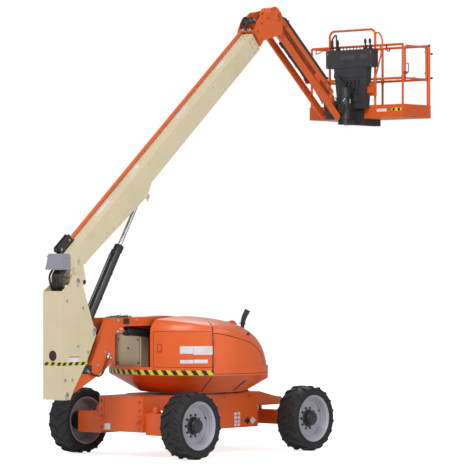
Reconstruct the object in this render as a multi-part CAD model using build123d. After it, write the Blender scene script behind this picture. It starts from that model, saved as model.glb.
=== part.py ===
from build123d import *
import os
from math import atan2, cos, degrees, hypot, radians, sin

# An articulating boom lift. Millimetres, +Z up, origin on the ground under the swing axis.
# +X points to the platform end (front), -Y is the right-hand side. All outlines are in the XZ plane.

# Wheels and axles
WHEEL_BASE = 2480
TRACK = 2135
TYRE_D = 940
TYRE_W = 355
TYRE_BEAD = 25
TYRE_WALL_IN = 35
TYRE_SHOULDER = 70
TYRE_ROUND = 55
RIM_D = 660
RIM_W = 300
RIM_WALL = 14
HUB_D = 250
SPINDLE_D = 110
SPINDLE_GAP = 0.4
AXLE_Z = TYRE_D / 2
FRONT_X = WHEEL_BASE / 2
REAR_X = -WHEEL_BASE / 2
KINGPIN_TO_TYRE = 90
KINGPIN_Y = TRACK / 2 - TYRE_W / 2 - KINGPIN_TO_TYRE
KINGPIN_D = 50
KNUCKLE_D = 150
KNUCKLE_H = 200
YOKE_T = 36
YOKE_D = 160
YOKE_GAP = 4
YOKE_WEB = 60
BEAM_W = 220
BEAM_H = 200
BEAM_SHORT = 120
PIVOT_RISE = 20
STEER_ARM = 235
STEER_ARM_END = 25
STEER_ARM_T = 50
STEER_Z_DROP = 10
TIE_ROD_D = 44
TIE_ROD_SHORT = 50
STEER_BARREL_D = 84
STEER_BARREL_L = 560
STEER_CLAMP_T = 40
STEER_CLAMP_H = 70

# Chassis
FRAME_PAST_AXLE = 260
FRAME_L = WHEEL_BASE + 2 * FRAME_PAST_AXLE
FRAME_END_HALF = 420
FRAME_MID_HALF = 600
FRAME_MID_X = FRONT_X - 520
FRAME_TAPER = 250
FRAME_BOTTOM = AXLE_Z - 114
FRAME_TOP = AXLE_Z + 380
FRAME_NOSE_TOP = AXLE_Z + 260
FRAME_NOSE_BOTTOM = AXLE_Z + 170
FRAME_STEP = 170
FRAME_STEP_SLOPE = 120
AXLE_BOX_H = 300
AXLE_BOX_L = 420
AXLE_BOX_GAP = 10
PIVOT_LUG_D = 160
PIVOT_LUG_T = 40
PIVOT_LUG_HALF = 110
PIVOT_LUG_GAP = 5
EAR_L = 80
EAR_T = 30
EAR_HALF = 50
EAR_HOLE_D = 40
EAR_Z = AXLE_Z + 70
EAR_IN = 50

# Turntable
TURN_R = 1200
TAIL_LEN = 880
BEARING_R = 450
BEARING_RING = 90
BEARING_H = 30
BEARING_GAP = 0.3
PAN_R = 760
PAN_LOW = FRAME_TOP + BEARING_H + BEARING_GAP
PAN_TOP = FRAME_TOP + 315
PAN_EDGE = 30
RIM_TOP = PAN_TOP + 87
RIM_T = 12
ROOF_Z = FRAME_TOP + 1104
HOOD_T = 8
HOOD_ROUND = 240
DOME_X = -500
DOME_R = TURN_R + 186
DOME_TOP = ROOF_Z + 12
DOME_WALL_Z = ROOF_Z - 204
DOME_BROW_Z = ROOF_Z - 24
DOME_WALL_SHARE = 0.98
DOME_BROW_SHARE = 0.75
RIGHT_DOOR_FROM_DEG = 194.5
LEFT_DOOR_FROM_DEG = 210
DOOR_TO_DEG = 235.6
DOOR_HIGH = RIM_TOP + 496
DOOR_GAP = 6
HINGE_OUT = 12
HINGE_D = 16
HINGE_PIN_D = 10
HINGE_LEAF_L = 32
HINGE_LEAF_T = 8
HINGE_KNUCKLE = 50
HINGE_Z = (RIM_TOP + 90, DOOR_HIGH - 140)
BAY_X = -800
BAY_Y = 520
COVER_X0 = -1000
COVER_L = 150
COVER_Y0 = 80
COVER_Y1 = 565
COVER_TOP = FRAME_TOP + 840
ENGINE_X0 = -450
ENGINE_X1 = 350
ENGINE_Y0 = -860
ENGINE_Y1 = -430
ENGINE_TOP = FRAME_TOP + 750
EXHAUST_X = 530
EXHAUST_Y = -480
EXHAUST_D = 60
EXHAUST_GAP = 8
EXHAUST_LOW = ENGINE_TOP - 150
EXHAUST_RISE = 90
EXHAUST_BEND = 45

# Cylinders and pins
LIFT_BARREL_D = 120
LIFT_ROD_D = 60
JIB_BARREL_D = 84
JIB_ROD_D = 42
ROD_GAP = 0.4
ROD_TAIL = 250
UPPER_ROD_TAIL = 620
PIN_D = 50
SMALL_PIN_D = 36
PIN_GAP = 0.5
SIDE_GAP = 8

# Main boom: s runs along the boom from its pin, t is up from it
BOOM_DEG = 40.4
BOOM_HALF = 140
BOOM_T = 10
BOOM_LOW_T = 47
BOOM_TOP_T = 327
BOOM_START_S = 150
BOOM_END_S = 5140
BOOM_BACK = 100
BOOM_LUG_S = 1860
BOOM_LUG_T = -45
BOOM_PLATE_GAP = 250
FLY_SIDE_GAP = 32
FLY_HALF = BOOM_HALF - FLY_SIDE_GAP
FLY_LOW_T = BOOM_LOW_T + 75
FLY_TOP_T = BOOM_TOP_T - 21
FLY_T = 10
FLY_TAIL_S = 700
FLY_OUT = 120
PAD_GAP = 0.4
PAD_L = 120
PAD_IN = 15
PAD_HALF = 40
NOSE_T = 16
NOSE_BACK_T = 30
NOSE_LIP = 20
JIB_PIN_S = BOOM_END_S + 628
JIB_PIN_T = 187
RAIL_D = 45
RAIL_Y = 60
RAIL_START_S = 320
GUARD_L = 190
GUARD_H = 220
GUARD_WIDER = 10

# Lower boom linkage: X, and Z above the chassis
TOWER_PIN = (620, FRAME_TOP + 910)
FOOT_PIN = (-2775, FRAME_TOP + 70)
MAST_PIN = (-2560, FRAME_TOP + 1620)
KNEE_X = -1800
TOWER_HALF = BOOM_HALF + 15
TOWER_SIDE_T = 14
LEG_INNER = LIFT_BARREL_D / 2 + 12
TOWER_TOP = TOWER_PIN[1] + 190
TOWER_EDGE = TOWER_PIN[1] + 70
TOWER_END_D = 190
LOWER_CYL_BASE = (50, FRAME_TOP + 770)
LOWER_CYL_EYE = (-1550, FRAME_TOP + 925)
LOWER_GLAND = 130
PLATE_Y = TOWER_HALF + 35
PLATE_T = 20
PLATE_END_D = 230
PLATE_X0 = -620
PLATE_X1 = 760
SLOT_HALF = PLATE_Y + PLATE_T + 30

# Upright
UPRIGHT_T = 12
UPRIGHT_HALF = BOOM_HALF + 28 + UPRIGHT_T
UPRIGHT_BACK = 85
UPRIGHT_LOW = 70
UPRIGHT_BACK_DROP = 140
MAST_CYL_BASE = (MAST_PIN[0] + 320, MAST_PIN[1] - 680)
MAST_BARREL_L = 1350

# Jib: u runs along it from its pin, v is up from it
JIB_DEG = -41
JIB_LEN = 1776
JIB_HALF = 96
JIB_LOW_V = -35
JIB_TOP_V = 105
JIB_HEAD_D = 270
JIB_END_D = 110
JIB_CHEEK = 34
JIB_SLOT_L = 380
HEAD_SLOT_V = -50
HEAD_SLOT_HALF = 55
LINK_DX = 80
LINK_DZ = -270
LINK_H = 106
LINK_IN = JIB_HALF + 16
LINK_T = 28
NOSE_IN = LINK_IN + LINK_T + 9
JIB_CYL_EYE_DX = 100
JIB_CYL_EYE_DZ = -230
JIB_CYL_BASE_U = JIB_LEN - 501
JIB_CYL_BASE_V = -93
JIB_GLAND = 219
LUG_T = 14
LUG_LIP = 35

# Platform
LEVEL_DX = 215
LEVEL_DZ = -140
LEVEL_D = 120
BRACKET_HALF = 54
ROTATOR_DX = 400
ROTATOR_R = 105
ROTATOR_DROP = 306
ROTATOR_RISE = 104
ROTATOR_SHAFT_D = 70
ROTATOR_EAR_T = 28
ARM_T = 70
ARM_HALF = 90
PLATFORM_DX = 288
PLATFORM_DEPTH = 690
PLATFORM_HALF = 915
FLOOR_DROP = 281
FLOOR_T = 30
DECK_T = 4
DECK_CLEAR = 5
TOE_H = 200
TOE_T = 5
RAIL_H = 1125
MID_RAIL_H = 595
ARCH_H = 1375
ARCH_Y0 = -360
ARCH_Y1 = 530
TUBE_D = 38
TUBE_BEND = 34
POST_D = 35
ARCH_BEND = 90
GATE_GAP = 20
GATE_TUBE_D = 30
GATE_BAR_D = 26
GATE_BEND = 40
GATE_DROP = 40
GATE_RING_D = 46
GATE_RING_H = 30
GATE_RING_IN = 80
GATE_ARM_T = 12
CONSOLE_LOW = 775
CONSOLE_H = 250
CONSOLE_L = 150
CONSOLE_Y0 = -430
CONSOLE_Y1 = 470
SUPPORT_HALF = 170
SUPPORT_H = 745
SUPPORT_BEAM_HALF = 60
FAR = 3000


def flat(points, y0, y1):
    """An outline in XZ, extruded from y0 to y1."""
    face = Plane.XZ * make_face(Polyline(*[(x, z) for x, z in points], close=True))
    return Pos(0, y1, 0) * extrude(face, amount=y1 - y0)


def disc(centre, diameter, y0, y1):
    """A round bar along Y."""
    x, z = centre
    return Pos(x, (y0 + y1) / 2, z) * Rot(90, 0, 0) * Cylinder(diameter / 2, y1 - y0)


def post(x, y, diameter, z0, z1):
    """A round bar along Z."""
    return Pos(x, y, (z0 + z1) / 2) * Cylinder(diameter / 2, z1 - z0)


def block(x0, x1, y0, y1, z0, z1):
    """A box between two corners."""
    return Pos((x0 + x1) / 2, (y0 + y1) / 2, (z0 + z1) / 2) * Box(x1 - x0, y1 - y0, z1 - z0)


def both(make, y0, y1):
    """The same piece on both sides, between y0 and y1 from the middle."""
    return make(y0, y1) + make(-y1, -y0)


def rod(p, q, diameter):
    """A round bar between two points in space."""
    start = Vector(*p)
    way = Vector(*q) - start
    return Plane(origin=start, z_dir=way) * Cylinder(
        diameter / 2, way.length, align=(Align.CENTER, Align.CENTER, Align.MIN))


def pipe(points, diameter, bend):
    """A tube through points, with bends of one radius at its centre line."""
    path = FilletPolyline(*points, radius=bend)
    start = Plane(origin=points[0], z_dir=Vector(*points[1]) - Vector(*points[0]))
    return sweep(start * Circle(diameter / 2), path=path)


def bar(p, q, height, y0, y1):
    """A straight flat bar with round ends."""
    (px, pz), (qx, qz) = p, q
    length = hypot(qx - px, qz - pz)
    nx, nz = -(qz - pz) / length * height / 2, (qx - px) / length * height / 2
    web = flat([(px + nx, pz + nz), (qx + nx, qz + nz), (qx - nx, qz - nz), (px - nx, pz - nz)], y0, y1)
    return web + disc(p, height, y0, y1) + disc(q, height, y0, y1)


def shift(point, length, angle, side=0):
    """The place that lies length along an angle and side to its left."""
    a = radians(angle)
    return (point[0] + length * cos(a) - side * sin(a), point[1] + length * sin(a) + side * cos(a))


def boom(s, t):
    """A place on the main boom."""
    return shift(MAST_PIN, s, BOOM_DEG, t)


JIB_PIN = boom(JIB_PIN_S, JIB_PIN_T)
PLATFORM_PIN = shift(JIB_PIN, JIB_LEN, JIB_DEG)
LINK_TOP = (JIB_PIN[0] + LINK_DX, JIB_PIN[1] + LINK_DZ)
LINK_LOW = (PLATFORM_PIN[0] + LINK_DX, PLATFORM_PIN[1] + LINK_DZ)
JIB_CYL_EYE = (JIB_PIN[0] + JIB_CYL_EYE_DX, JIB_PIN[1] + JIB_CYL_EYE_DZ)
LEVEL_PIN = (PLATFORM_PIN[0] + LEVEL_DX, PLATFORM_PIN[1] + LEVEL_DZ)
ROTATOR_X = PLATFORM_PIN[0] + ROTATOR_DX
ROTATOR_LOW = PLATFORM_PIN[1] - ROTATOR_DROP
ROTATOR_HIGH = PLATFORM_PIN[1] + ROTATOR_RISE
PLATFORM_X0 = ROTATOR_X + PLATFORM_DX
PLATFORM_X1 = PLATFORM_X0 + PLATFORM_DEPTH
FLOOR_Z = PLATFORM_PIN[1] - FLOOR_DROP
RAIL_Z = FLOOR_Z + RAIL_H
MID_RAIL_Z = FLOOR_Z + MID_RAIL_H
ARCH_Z = FLOOR_Z + ARCH_H


def jib(u, v):
    """A place on the jib."""
    return shift(JIB_PIN, u, JIB_DEG, v)


def angle_of(p, q):
    return degrees(atan2(q[1] - p[1], q[0] - p[0]))


def distance(p, q):
    return hypot(q[0] - p[0], q[1] - p[1])


def beside(point, dx, dz):
    """The place that lies dx and dz from a point."""
    return (point[0] + dx, point[1] + dz)


def mirrored(make):
    """A piece made for both sides: make(side) with side -1 and 1."""
    return make(-1) + make(1)


# Wheels
def tyre(x, y):
    half = TYRE_W / 2
    outer = TYRE_D / 2
    inner = RIM_D / 2
    section = [(inner, half - TYRE_BEAD), (inner + TYRE_WALL_IN, half), (outer - TYRE_SHOULDER, half),
               (outer, half - TYRE_ROUND)]
    outline = section + [(r, -w) for r, w in reversed(section)]
    ring = revolve(make_face(Polyline(*outline, close=True)), Axis.Y)
    return Pos(x, y, AXLE_Z) * ring


def rim(x, y):
    side = 1 if y > 0 else -1
    half = RIM_W / 2
    inside = RIM_D / 2 - RIM_WALL
    ring = Cylinder(RIM_D / 2, RIM_W) - Cylinder(inside, RIM_W)
    dish = Pos(0, 0, half * 0.35) * Cylinder(inside, RIM_WALL)
    hub = Pos(0, 0, -half * 0.2) * Cylinder(HUB_D / 2, half * 1.5)
    bore = Pos(0, 0, -half * 0.45) * Cylinder(SPINDLE_D / 2 + SPINDLE_GAP, half * 1.2)
    wheel = ring + dish + hub - bore
    return Pos(x, y, AXLE_Z) * Rot(-90 * side, 0, 0) * wheel


def spindle(x, y0, side):
    """The stub that a hub turns on, from y0 outward."""
    end = side * (TRACK / 2 + RIM_W * 0.05)
    low, high = sorted((y0, end))
    return disc((x, AXLE_Z), SPINDLE_D, low, high)


def build_wheels():
    parts = {}
    for end, x in (("front", FRONT_X), ("rear", REAR_X)):
        for hand, side in (("right", -1), ("left", 1)):
            parts[f"tyre_{end}_{hand}"] = tyre(x, side * TRACK / 2)
            parts[f"rim_{end}_{hand}"] = rim(x, side * TRACK / 2)
    return parts


# Chassis
def pivot_bar(x0, x1, diameter):
    """A round bar along X on the front axle's pivot line."""
    return rod((x0, 0, AXLE_Z + PIVOT_RISE), (x1, 0, AXLE_Z + PIVOT_RISE), diameter)


def frame_plan():
    half = [(FRAME_L / 2, FRAME_END_HALF), (FRAME_MID_X + FRAME_TAPER, FRAME_END_HALF), (FRAME_MID_X, FRAME_MID_HALF)]
    right = half + [(-x, y) for x, y in reversed(half)]
    outline = right + [(x, -y) for x, y in reversed(right)]
    return extrude(make_face(Polyline(*outline, close=True)), amount=FRAME_TOP)


def pivot_lug(x):
    lug = block(x, x + PIVOT_LUG_T, -PIVOT_LUG_HALF, PIVOT_LUG_HALF, AXLE_Z, FRAME_NOSE_BOTTOM)
    lug += pivot_bar(x, x + PIVOT_LUG_T, PIVOT_LUG_D)
    return lug - pivot_bar(x, x + PIVOT_LUG_T, PIN_D + 2 * PIN_GAP)


def tie_down_ear(side):
    """A flat ear behind the frame, with an upright hole for a shackle pin."""
    x = -FRAME_L / 2
    y = side * (FRAME_END_HALF - EAR_IN)
    z0, z1 = EAR_Z - EAR_T / 2, EAR_Z + EAR_T / 2
    ear = block(x - EAR_L, x, y - EAR_HALF, y + EAR_HALF, z0, z1)
    return ear - post(x - EAR_L / 2, y, EAR_HOLE_D, z0, z1)


def chassis_frame():
    x_end = FRAME_L / 2
    x_step = FRONT_X - BEAM_W / 2 - FRAME_STEP
    side = flat([(-x_end, FRAME_BOTTOM), (-x_end, FRAME_TOP), (x_step, FRAME_TOP), (x_end, FRAME_NOSE_TOP),
                 (x_end, FRAME_NOSE_BOTTOM), (x_step, FRAME_NOSE_BOTTOM), (x_step - FRAME_STEP_SLOPE, FRAME_BOTTOM)],
                -FRAME_MID_HALF, FRAME_MID_HALF)
    shape = frame_plan() & side
    shape += pivot_lug(FRONT_X - BEAM_W / 2 - PIVOT_LUG_GAP - PIVOT_LUG_T)
    shape += pivot_lug(FRONT_X + BEAM_W / 2 + PIVOT_LUG_GAP)
    return shape + mirrored(tie_down_ear)


def rear_axle():
    def half(side):
        y0, y1 = sorted((side * FRAME_END_HALF, side * (TRACK / 2 - TYRE_W / 2 - AXLE_BOX_GAP)))
        arm = block(REAR_X - AXLE_BOX_L / 2, REAR_X + AXLE_BOX_L / 2, y0, y1,
                    AXLE_Z - AXLE_BOX_H / 2, AXLE_Z + AXLE_BOX_H / 2)
        return arm + spindle(REAR_X, side * FRAME_END_HALF, side)
    return mirrored(half)


def front_axle():
    reach = KINGPIN_Y - BEAM_SHORT
    x0, x1 = FRONT_X - BEAM_W / 2, FRONT_X + BEAM_W / 2
    jaw_x0, jaw_x1 = FRONT_X - YOKE_D / 2, FRONT_X + YOKE_D / 2
    jaw_z = KNUCKLE_H / 2 + YOKE_GAP

    def yoke(side):
        y = side * KINGPIN_Y
        inner, outer = sorted((side * (reach - YOKE_WEB), side * reach))
        shape = block(jaw_x0, jaw_x1, inner, outer, AXLE_Z - jaw_z - YOKE_T, AXLE_Z + jaw_z + YOKE_T)
        y0, y1 = sorted((side * (reach - YOKE_WEB), y))
        for z in (AXLE_Z - jaw_z - YOKE_T, AXLE_Z + jaw_z):
            shape += block(jaw_x0, jaw_x1, y0, y1, z, z + YOKE_T) + post(FRONT_X, y, YOKE_D, z, z + YOKE_T)
        return shape + post(FRONT_X, y, KINGPIN_D, AXLE_Z - jaw_z, AXLE_Z + jaw_z)

    shape = block(x0, x1, -reach, reach, AXLE_Z - BEAM_H / 2, AXLE_Z + BEAM_H / 2) + mirrored(yoke)
    pin_past = PIVOT_LUG_GAP + PIVOT_LUG_T + PIVOT_LUG_GAP
    return shape + pivot_bar(x0 - pin_past, x1 + pin_past, PIN_D)


def steering_knuckle(side):
    y = side * KINGPIN_Y
    arm_z = AXLE_Z - STEER_Z_DROP
    shape = post(FRONT_X, y, KNUCKLE_D, AXLE_Z - KNUCKLE_H / 2, AXLE_Z + KNUCKLE_H / 2)
    shape += spindle(FRONT_X, y, side)
    y0, y1 = sorted((y - side * STEER_ARM_T * 0.7, y + side * STEER_ARM_T * 0.1))
    shape += block(FRONT_X, FRONT_X + STEER_ARM, y0, y1, arm_z - STEER_ARM_T / 2, arm_z + STEER_ARM_T / 2)
    return shape - post(FRONT_X, y, KINGPIN_D + 2 * PIN_GAP, AXLE_Z - KNUCKLE_H / 2, AXLE_Z + KNUCKLE_H / 2)


def cross_bar(reach, diameter):
    """A round bar along Y on the steering line."""
    return disc((FRONT_X + STEER_ARM - STEER_ARM_END, AXLE_Z - STEER_Z_DROP), diameter, -reach, reach)


def tie_rod():
    return cross_bar(KINGPIN_Y - TIE_ROD_SHORT, TIE_ROD_D)


def steering_cylinder():
    x = FRONT_X + STEER_ARM - STEER_ARM_END
    z = AXLE_Z - STEER_Z_DROP
    half = STEER_BARREL_L / 2

    def clamp(side):
        y = side * (half - STEER_CLAMP_T)
        return block(FRONT_X + BEAM_W / 2, x, y - STEER_CLAMP_T / 2, y + STEER_CLAMP_T / 2,
                     z - STEER_CLAMP_H / 2, z + STEER_CLAMP_H / 2)
    shape = cross_bar(half, STEER_BARREL_D) + mirrored(clamp)
    return shape - cross_bar(half, TIE_ROD_D + 2 * ROD_GAP)


def slew_bearing():
    ring = Cylinder(BEARING_R, BEARING_H) - Cylinder(BEARING_R - BEARING_RING, BEARING_H)
    return Pos(0, 0, FRAME_TOP + BEARING_H / 2) * ring


# Turntable
def turn_plan(inset, z0, z1):
    """The turntable's outline: a half circle behind, a shorter half oval in front."""
    r = TURN_R - inset
    nose = TAIL_LEN - inset
    rear = Sketch() + Circle(r)
    rear &= Pos(-r / 2, 0) * Rectangle(r, 2 * r)
    front = Sketch() + Ellipse(nose, r)
    front &= Pos(nose / 2, 0) * Rectangle(nose, 2 * r)
    return Pos(0, 0, z0) * extrude(rear + front, amount=z1 - z0)


def turntable_base():
    profile = Polyline((0, PAN_LOW), (PAN_R, PAN_LOW), (TURN_R, PAN_TOP - PAN_EDGE), (TURN_R, PAN_TOP), (0, PAN_TOP),
                       close=True)
    cone = revolve(Plane.XZ * make_face(profile), Axis.Z)
    wall = turn_plan(0, PAN_TOP, RIM_TOP) - turn_plan(RIM_T, PAN_TOP, RIM_TOP)
    return (cone & turn_plan(0, PAN_LOW, PAN_TOP)) + wall


def turntable_plates():
    """Two upright plates that carry the lower boom and its lift cylinder."""
    cheek = PLATE_END_D / 2 - 10

    def plate(y0, y1):
        web = flat([(PLATE_X0, PAN_TOP), beside(LOWER_CYL_BASE, -470, -120), beside(TOWER_PIN, -cheek, 30),
                    beside(TOWER_PIN, cheek, -30), (PLATE_X1, PAN_TOP)], y0, y1)
        return web + disc(TOWER_PIN, PLATE_END_D, y0, y1)

    shape = both(plate, PLATE_Y, PLATE_Y + PLATE_T)
    for pin in (TOWER_PIN, LOWER_CYL_BASE):
        shape += disc(pin, PIN_D, -PLATE_Y, PLATE_Y)
    return shape + block(TOWER_PIN[0] / 2, PLATE_X1, -PLATE_Y, PLATE_Y, PAN_TOP, PAN_TOP + PLATE_T)


def dome(inset):
    """The hood's sloping shape over the tail."""
    r = DOME_R - inset
    wall = Bezier((r, PAN_TOP), (r * DOME_WALL_SHARE, DOME_WALL_Z - inset), (r * DOME_BROW_SHARE, DOME_BROW_Z - inset),
                  (0, DOME_TOP - inset))
    closing = Polyline((0, DOME_TOP - inset), (0, PAN_TOP), (r, PAN_TOP))
    return Pos(DOME_X, 0, 0) * revolve(Plane.XZ * make_face(wall + closing), Axis.Z)


def hood_solid(inset):
    top = ROOF_Z - inset
    body = turn_plan(RIM_T + inset, RIM_TOP, top)
    edges = body.edges().filter_by_position(Axis.Z, top - 1, top + 1)
    return fillet(edges, HOOD_ROUND - inset) & dome(inset)


def sector(from_deg, to_deg, z0, z1):
    """A wedge about the swing axis, for cutting."""
    reach = TURN_R * 2
    middle = (from_deg + to_deg) / 2
    points = [(0, 0)] + [(reach * cos(radians(a)), reach * sin(radians(a))) for a in (from_deg, middle, to_deg)]
    return Pos(0, 0, z0) * extrude(make_face(Polyline(*points, close=True)), amount=z1 - z0)


def hinge_line(hand):
    """Where a door's upright hinge line stands, and the angle that it faces."""
    turn = DOOR_TO_DEG + degrees(DOOR_GAP / 2 / TURN_R)
    angle = turn if hand < 0 else 360 - turn
    reach = TURN_R - RIM_T + HINGE_OUT
    return reach * cos(radians(angle)), reach * sin(radians(angle)), angle


def hinge_knuckle(hand, side, z0, z1):
    """A knuckle with its leaf, on the hood's side of the line (side 1) or the door's (side -1)."""
    x, y, angle = hinge_line(hand)
    tangent = -side * hand
    low, high = sorted((0, tangent * HINGE_LEAF_L))
    leaf_x = HINGE_OUT + 2
    leaf = block(-leaf_x, HINGE_LEAF_T - leaf_x, low, high, z0, z1)
    return Pos(x, y, 0) * Rot(0, 0, angle) * leaf + post(x, y, HINGE_D, z0, z1)


def hood_knuckles(hand):
    """The hood's knuckles, bored for the door's pins."""
    x, y, _ = hinge_line(hand)
    shape = None
    for z in HINGE_Z:
        knuckle = hinge_knuckle(hand, 1, z, z + HINGE_KNUCKLE)
        knuckle -= post(x, y, HINGE_PIN_D + 2 * PIN_GAP, z, z + HINGE_KNUCKLE)
        shape = knuckle if shape is None else shape + knuckle
    return shape


def door_knuckles(hand):
    """The door's knuckles, above and below each of the hood's, with the pin through them."""
    x, y, _ = hinge_line(hand)
    shape = None
    for z in HINGE_Z:
        low, high = z - 1, z + HINGE_KNUCKLE + 1
        knuckle = hinge_knuckle(hand, -1, low - HINGE_KNUCKLE / 2, low)
        knuckle += hinge_knuckle(hand, -1, high, high + HINGE_KNUCKLE / 2)
        knuckle += post(x, y, HINGE_PIN_D, low, high)
        shape = knuckle if shape is None else shape + knuckle
    return shape


def door_cut(hand, grow):
    """The space of one hood door, grown by the gap around it."""
    turn = degrees(grow / TURN_R)
    low = RIM_TOP + DOOR_GAP - grow
    if hand < 0:
        return sector(RIGHT_DOOR_FROM_DEG - turn, DOOR_TO_DEG + turn, low, DOOR_HIGH + grow)
    return sector(360 - DOOR_TO_DEG - turn, 360 - LEFT_DOOR_FROM_DEG + turn, low, DOOR_HIGH + grow)


def build_hood():
    shell = hood_solid(0) - hood_solid(HOOD_T)
    exhaust_hole = post(EXHAUST_X, EXHAUST_Y, EXHAUST_D + 2 * EXHAUST_GAP, RIM_TOP, ROOF_Z)
    right = (shell & block(-FAR, FAR, -FAR, -SLOT_HALF, 0, FAR)) - exhaust_hole
    open_bay = block(-FAR, BAY_X, 0, BAY_Y, 0, FAR)
    left = (shell & block(-FAR, FAR, SLOT_HALF, FAR, 0, FAR)) - open_bay
    parts = {"tail_cover": shell & block(PLATE_X1, FAR, -SLOT_HALF, SLOT_HALF, 0, FAR)}
    for name, side, cover in (("right", -1, right), ("left", 1, left)):
        parts[f"{name}_hood"] = (cover - door_cut(side, DOOR_GAP)) + hood_knuckles(side)
        parts[f"{name}_hood_door"] = (cover & door_cut(side, 0)) + door_knuckles(side)
    return parts


def valve_cover():
    return block(COVER_X0, COVER_X0 + COVER_L, COVER_Y0, COVER_Y1, PAN_TOP, COVER_TOP)


def engine_block():
    return block(ENGINE_X0, ENGINE_X1, ENGINE_Y0, ENGINE_Y1, PAN_TOP, ENGINE_TOP)


def exhaust_stack():
    x, y = EXHAUST_X, EXHAUST_Y
    return pipe([(ENGINE_X1, y, EXHAUST_LOW), (x, y, EXHAUST_LOW), (x, y, ROOF_Z - EXHAUST_D),
                 (x + EXHAUST_BEND, y - EXHAUST_BEND, ROOF_Z + EXHAUST_RISE)], EXHAUST_D, EXHAUST_D)


# Lower boom
def lower_boom():
    leg = [beside(FOOT_PIN, -30, 55), (KNEE_X - 500, TOWER_EDGE - 540), (KNEE_X - 425, TOWER_EDGE - 445),
           (KNEE_X - 125, TOWER_TOP), (KNEE_X + 220, TOWER_TOP), (KNEE_X + 220, TOWER_EDGE),
           (KNEE_X + 120, TOWER_EDGE - 20), (KNEE_X, TOWER_EDGE - 110), (KNEE_X, TOWER_EDGE - 460),
           (KNEE_X - 220, TOWER_EDGE - 615), beside(FOOT_PIN, 25, -55)]
    beam_start, beam_end = KNEE_X + 160, TOWER_PIN[0] - 1320
    side = [(beam_start, TOWER_TOP), (beam_end, TOWER_TOP), beside(TOWER_PIN, 20, TOWER_END_D / 2),
            beside(TOWER_PIN, 0, -TOWER_END_D / 2), (beam_end - 100, TOWER_PIN[1] - 20), (beam_end - 300, TOWER_EDGE),
            (beam_start, TOWER_EDGE)]

    def one_leg(y0, y1):
        return flat(leg, y0, y1) + disc(FOOT_PIN, 116, y0, y1)

    def one_side(y0, y1):
        return flat(side, y0, y1) + disc(TOWER_PIN, TOWER_END_D, y0, y1)

    shape = both(one_leg, LEG_INNER, TOWER_HALF)
    shape += both(one_side, TOWER_HALF - TOWER_SIDE_T, TOWER_HALF)
    shape += block(beam_start, beam_end, -TOWER_HALF, TOWER_HALF, TOWER_TOP - TOWER_SIDE_T, TOWER_TOP)
    shape += disc(TOWER_PIN, 90, -TOWER_HALF, TOWER_HALF)
    for pin in (TOWER_PIN, FOOT_PIN):
        shape -= disc(pin, PIN_D + 2 * PIN_GAP, -TOWER_HALF, TOWER_HALF)
    return shape


def barrel(base, eye, diameter, rod_diameter, pin_diameter, reach):
    """A cylinder's barrel from its base pin towards its eye, bored for the rod."""
    angle = angle_of(base, eye)
    start = shift(base, diameter * 0.45, angle)
    end = shift(base, reach, angle)
    bore_start = shift(base, diameter, angle)
    half = diameter * 0.4
    shape = rod((start[0], 0, start[1]), (end[0], 0, end[1]), diameter) + disc(base, diameter, -half, half)
    shape -= rod((bore_start[0], 0, bore_start[1]), (end[0], 0, end[1]), rod_diameter + 2 * ROD_GAP)
    return shape - disc(base, pin_diameter + 2 * PIN_GAP, -half, half)


def piston_rod(base, eye, tail, diameter, eye_diameter, eye_half):
    """A cylinder's rod, from inside its barrel to its eye. Its tail leaves room for the stroke."""
    start = shift(base, tail, angle_of(base, eye))
    shape = rod((start[0], 0, start[1]), (eye[0], 0, eye[1]), diameter)
    return shape + disc(eye, eye_diameter, -eye_half, eye_half)


def build_cylinders():
    boom_eye = boom(BOOM_LUG_S, BOOM_LUG_T)
    jib_base = jib(JIB_CYL_BASE_U, JIB_CYL_BASE_V)
    lower_reach = distance(LOWER_CYL_BASE, LOWER_CYL_EYE) - LOWER_GLAND
    jib_reach = distance(jib_base, JIB_CYL_EYE) - JIB_GLAND
    return {
        "lower_lift_barrel": barrel(LOWER_CYL_BASE, LOWER_CYL_EYE, LIFT_BARREL_D, LIFT_ROD_D, PIN_D, lower_reach),
        "lower_lift_rod": piston_rod(LOWER_CYL_BASE, LOWER_CYL_EYE, ROD_TAIL, LIFT_ROD_D, 2 * PIN_D, 45),
        "upper_lift_barrel": barrel(MAST_CYL_BASE, boom_eye, LIFT_BARREL_D, LIFT_ROD_D, PIN_D, MAST_BARREL_L),
        "upper_lift_rod": piston_rod(MAST_CYL_BASE, boom_eye, UPPER_ROD_TAIL, LIFT_ROD_D, PIN_D + 20, 50),
        "jib_lift_barrel": barrel(jib_base, JIB_CYL_EYE, JIB_BARREL_D, JIB_ROD_D, SMALL_PIN_D, jib_reach),
        "jib_lift_rod": piston_rod(jib_base, JIB_CYL_EYE, ROD_TAIL, JIB_ROD_D, 2 * SMALL_PIN_D, 30),
    }


# Upright
def upright():
    x0 = FOOT_PIN[0] - UPRIGHT_BACK
    low = FOOT_PIN[1] - UPRIGHT_LOW
    back_top = MAST_PIN[1] - UPRIGHT_BACK_DROP
    outline = [(x0, low), (x0, back_top), beside(MAST_PIN, -150, -40), beside(MAST_PIN, -90, 80),
               beside(MAST_PIN, 90, 80), beside(MAST_PIN, 110, -70), beside(MAST_CYL_BASE, 50, -70),
               beside(MAST_CYL_BASE, -150, -460), beside(FOOT_PIN, 145, 60), (FOOT_PIN[0] + 75, low)]
    shape = both(lambda y0, y1: flat(outline, y0, y1), UPRIGHT_HALF - UPRIGHT_T, UPRIGHT_HALF)
    shape += block(x0, x0 + UPRIGHT_T, -UPRIGHT_HALF, UPRIGHT_HALF, low, back_top)
    for pin in (FOOT_PIN, MAST_PIN, MAST_CYL_BASE):
        shape += disc(pin, PIN_D, -UPRIGHT_HALF, UPRIGHT_HALF)
    return shape


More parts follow.
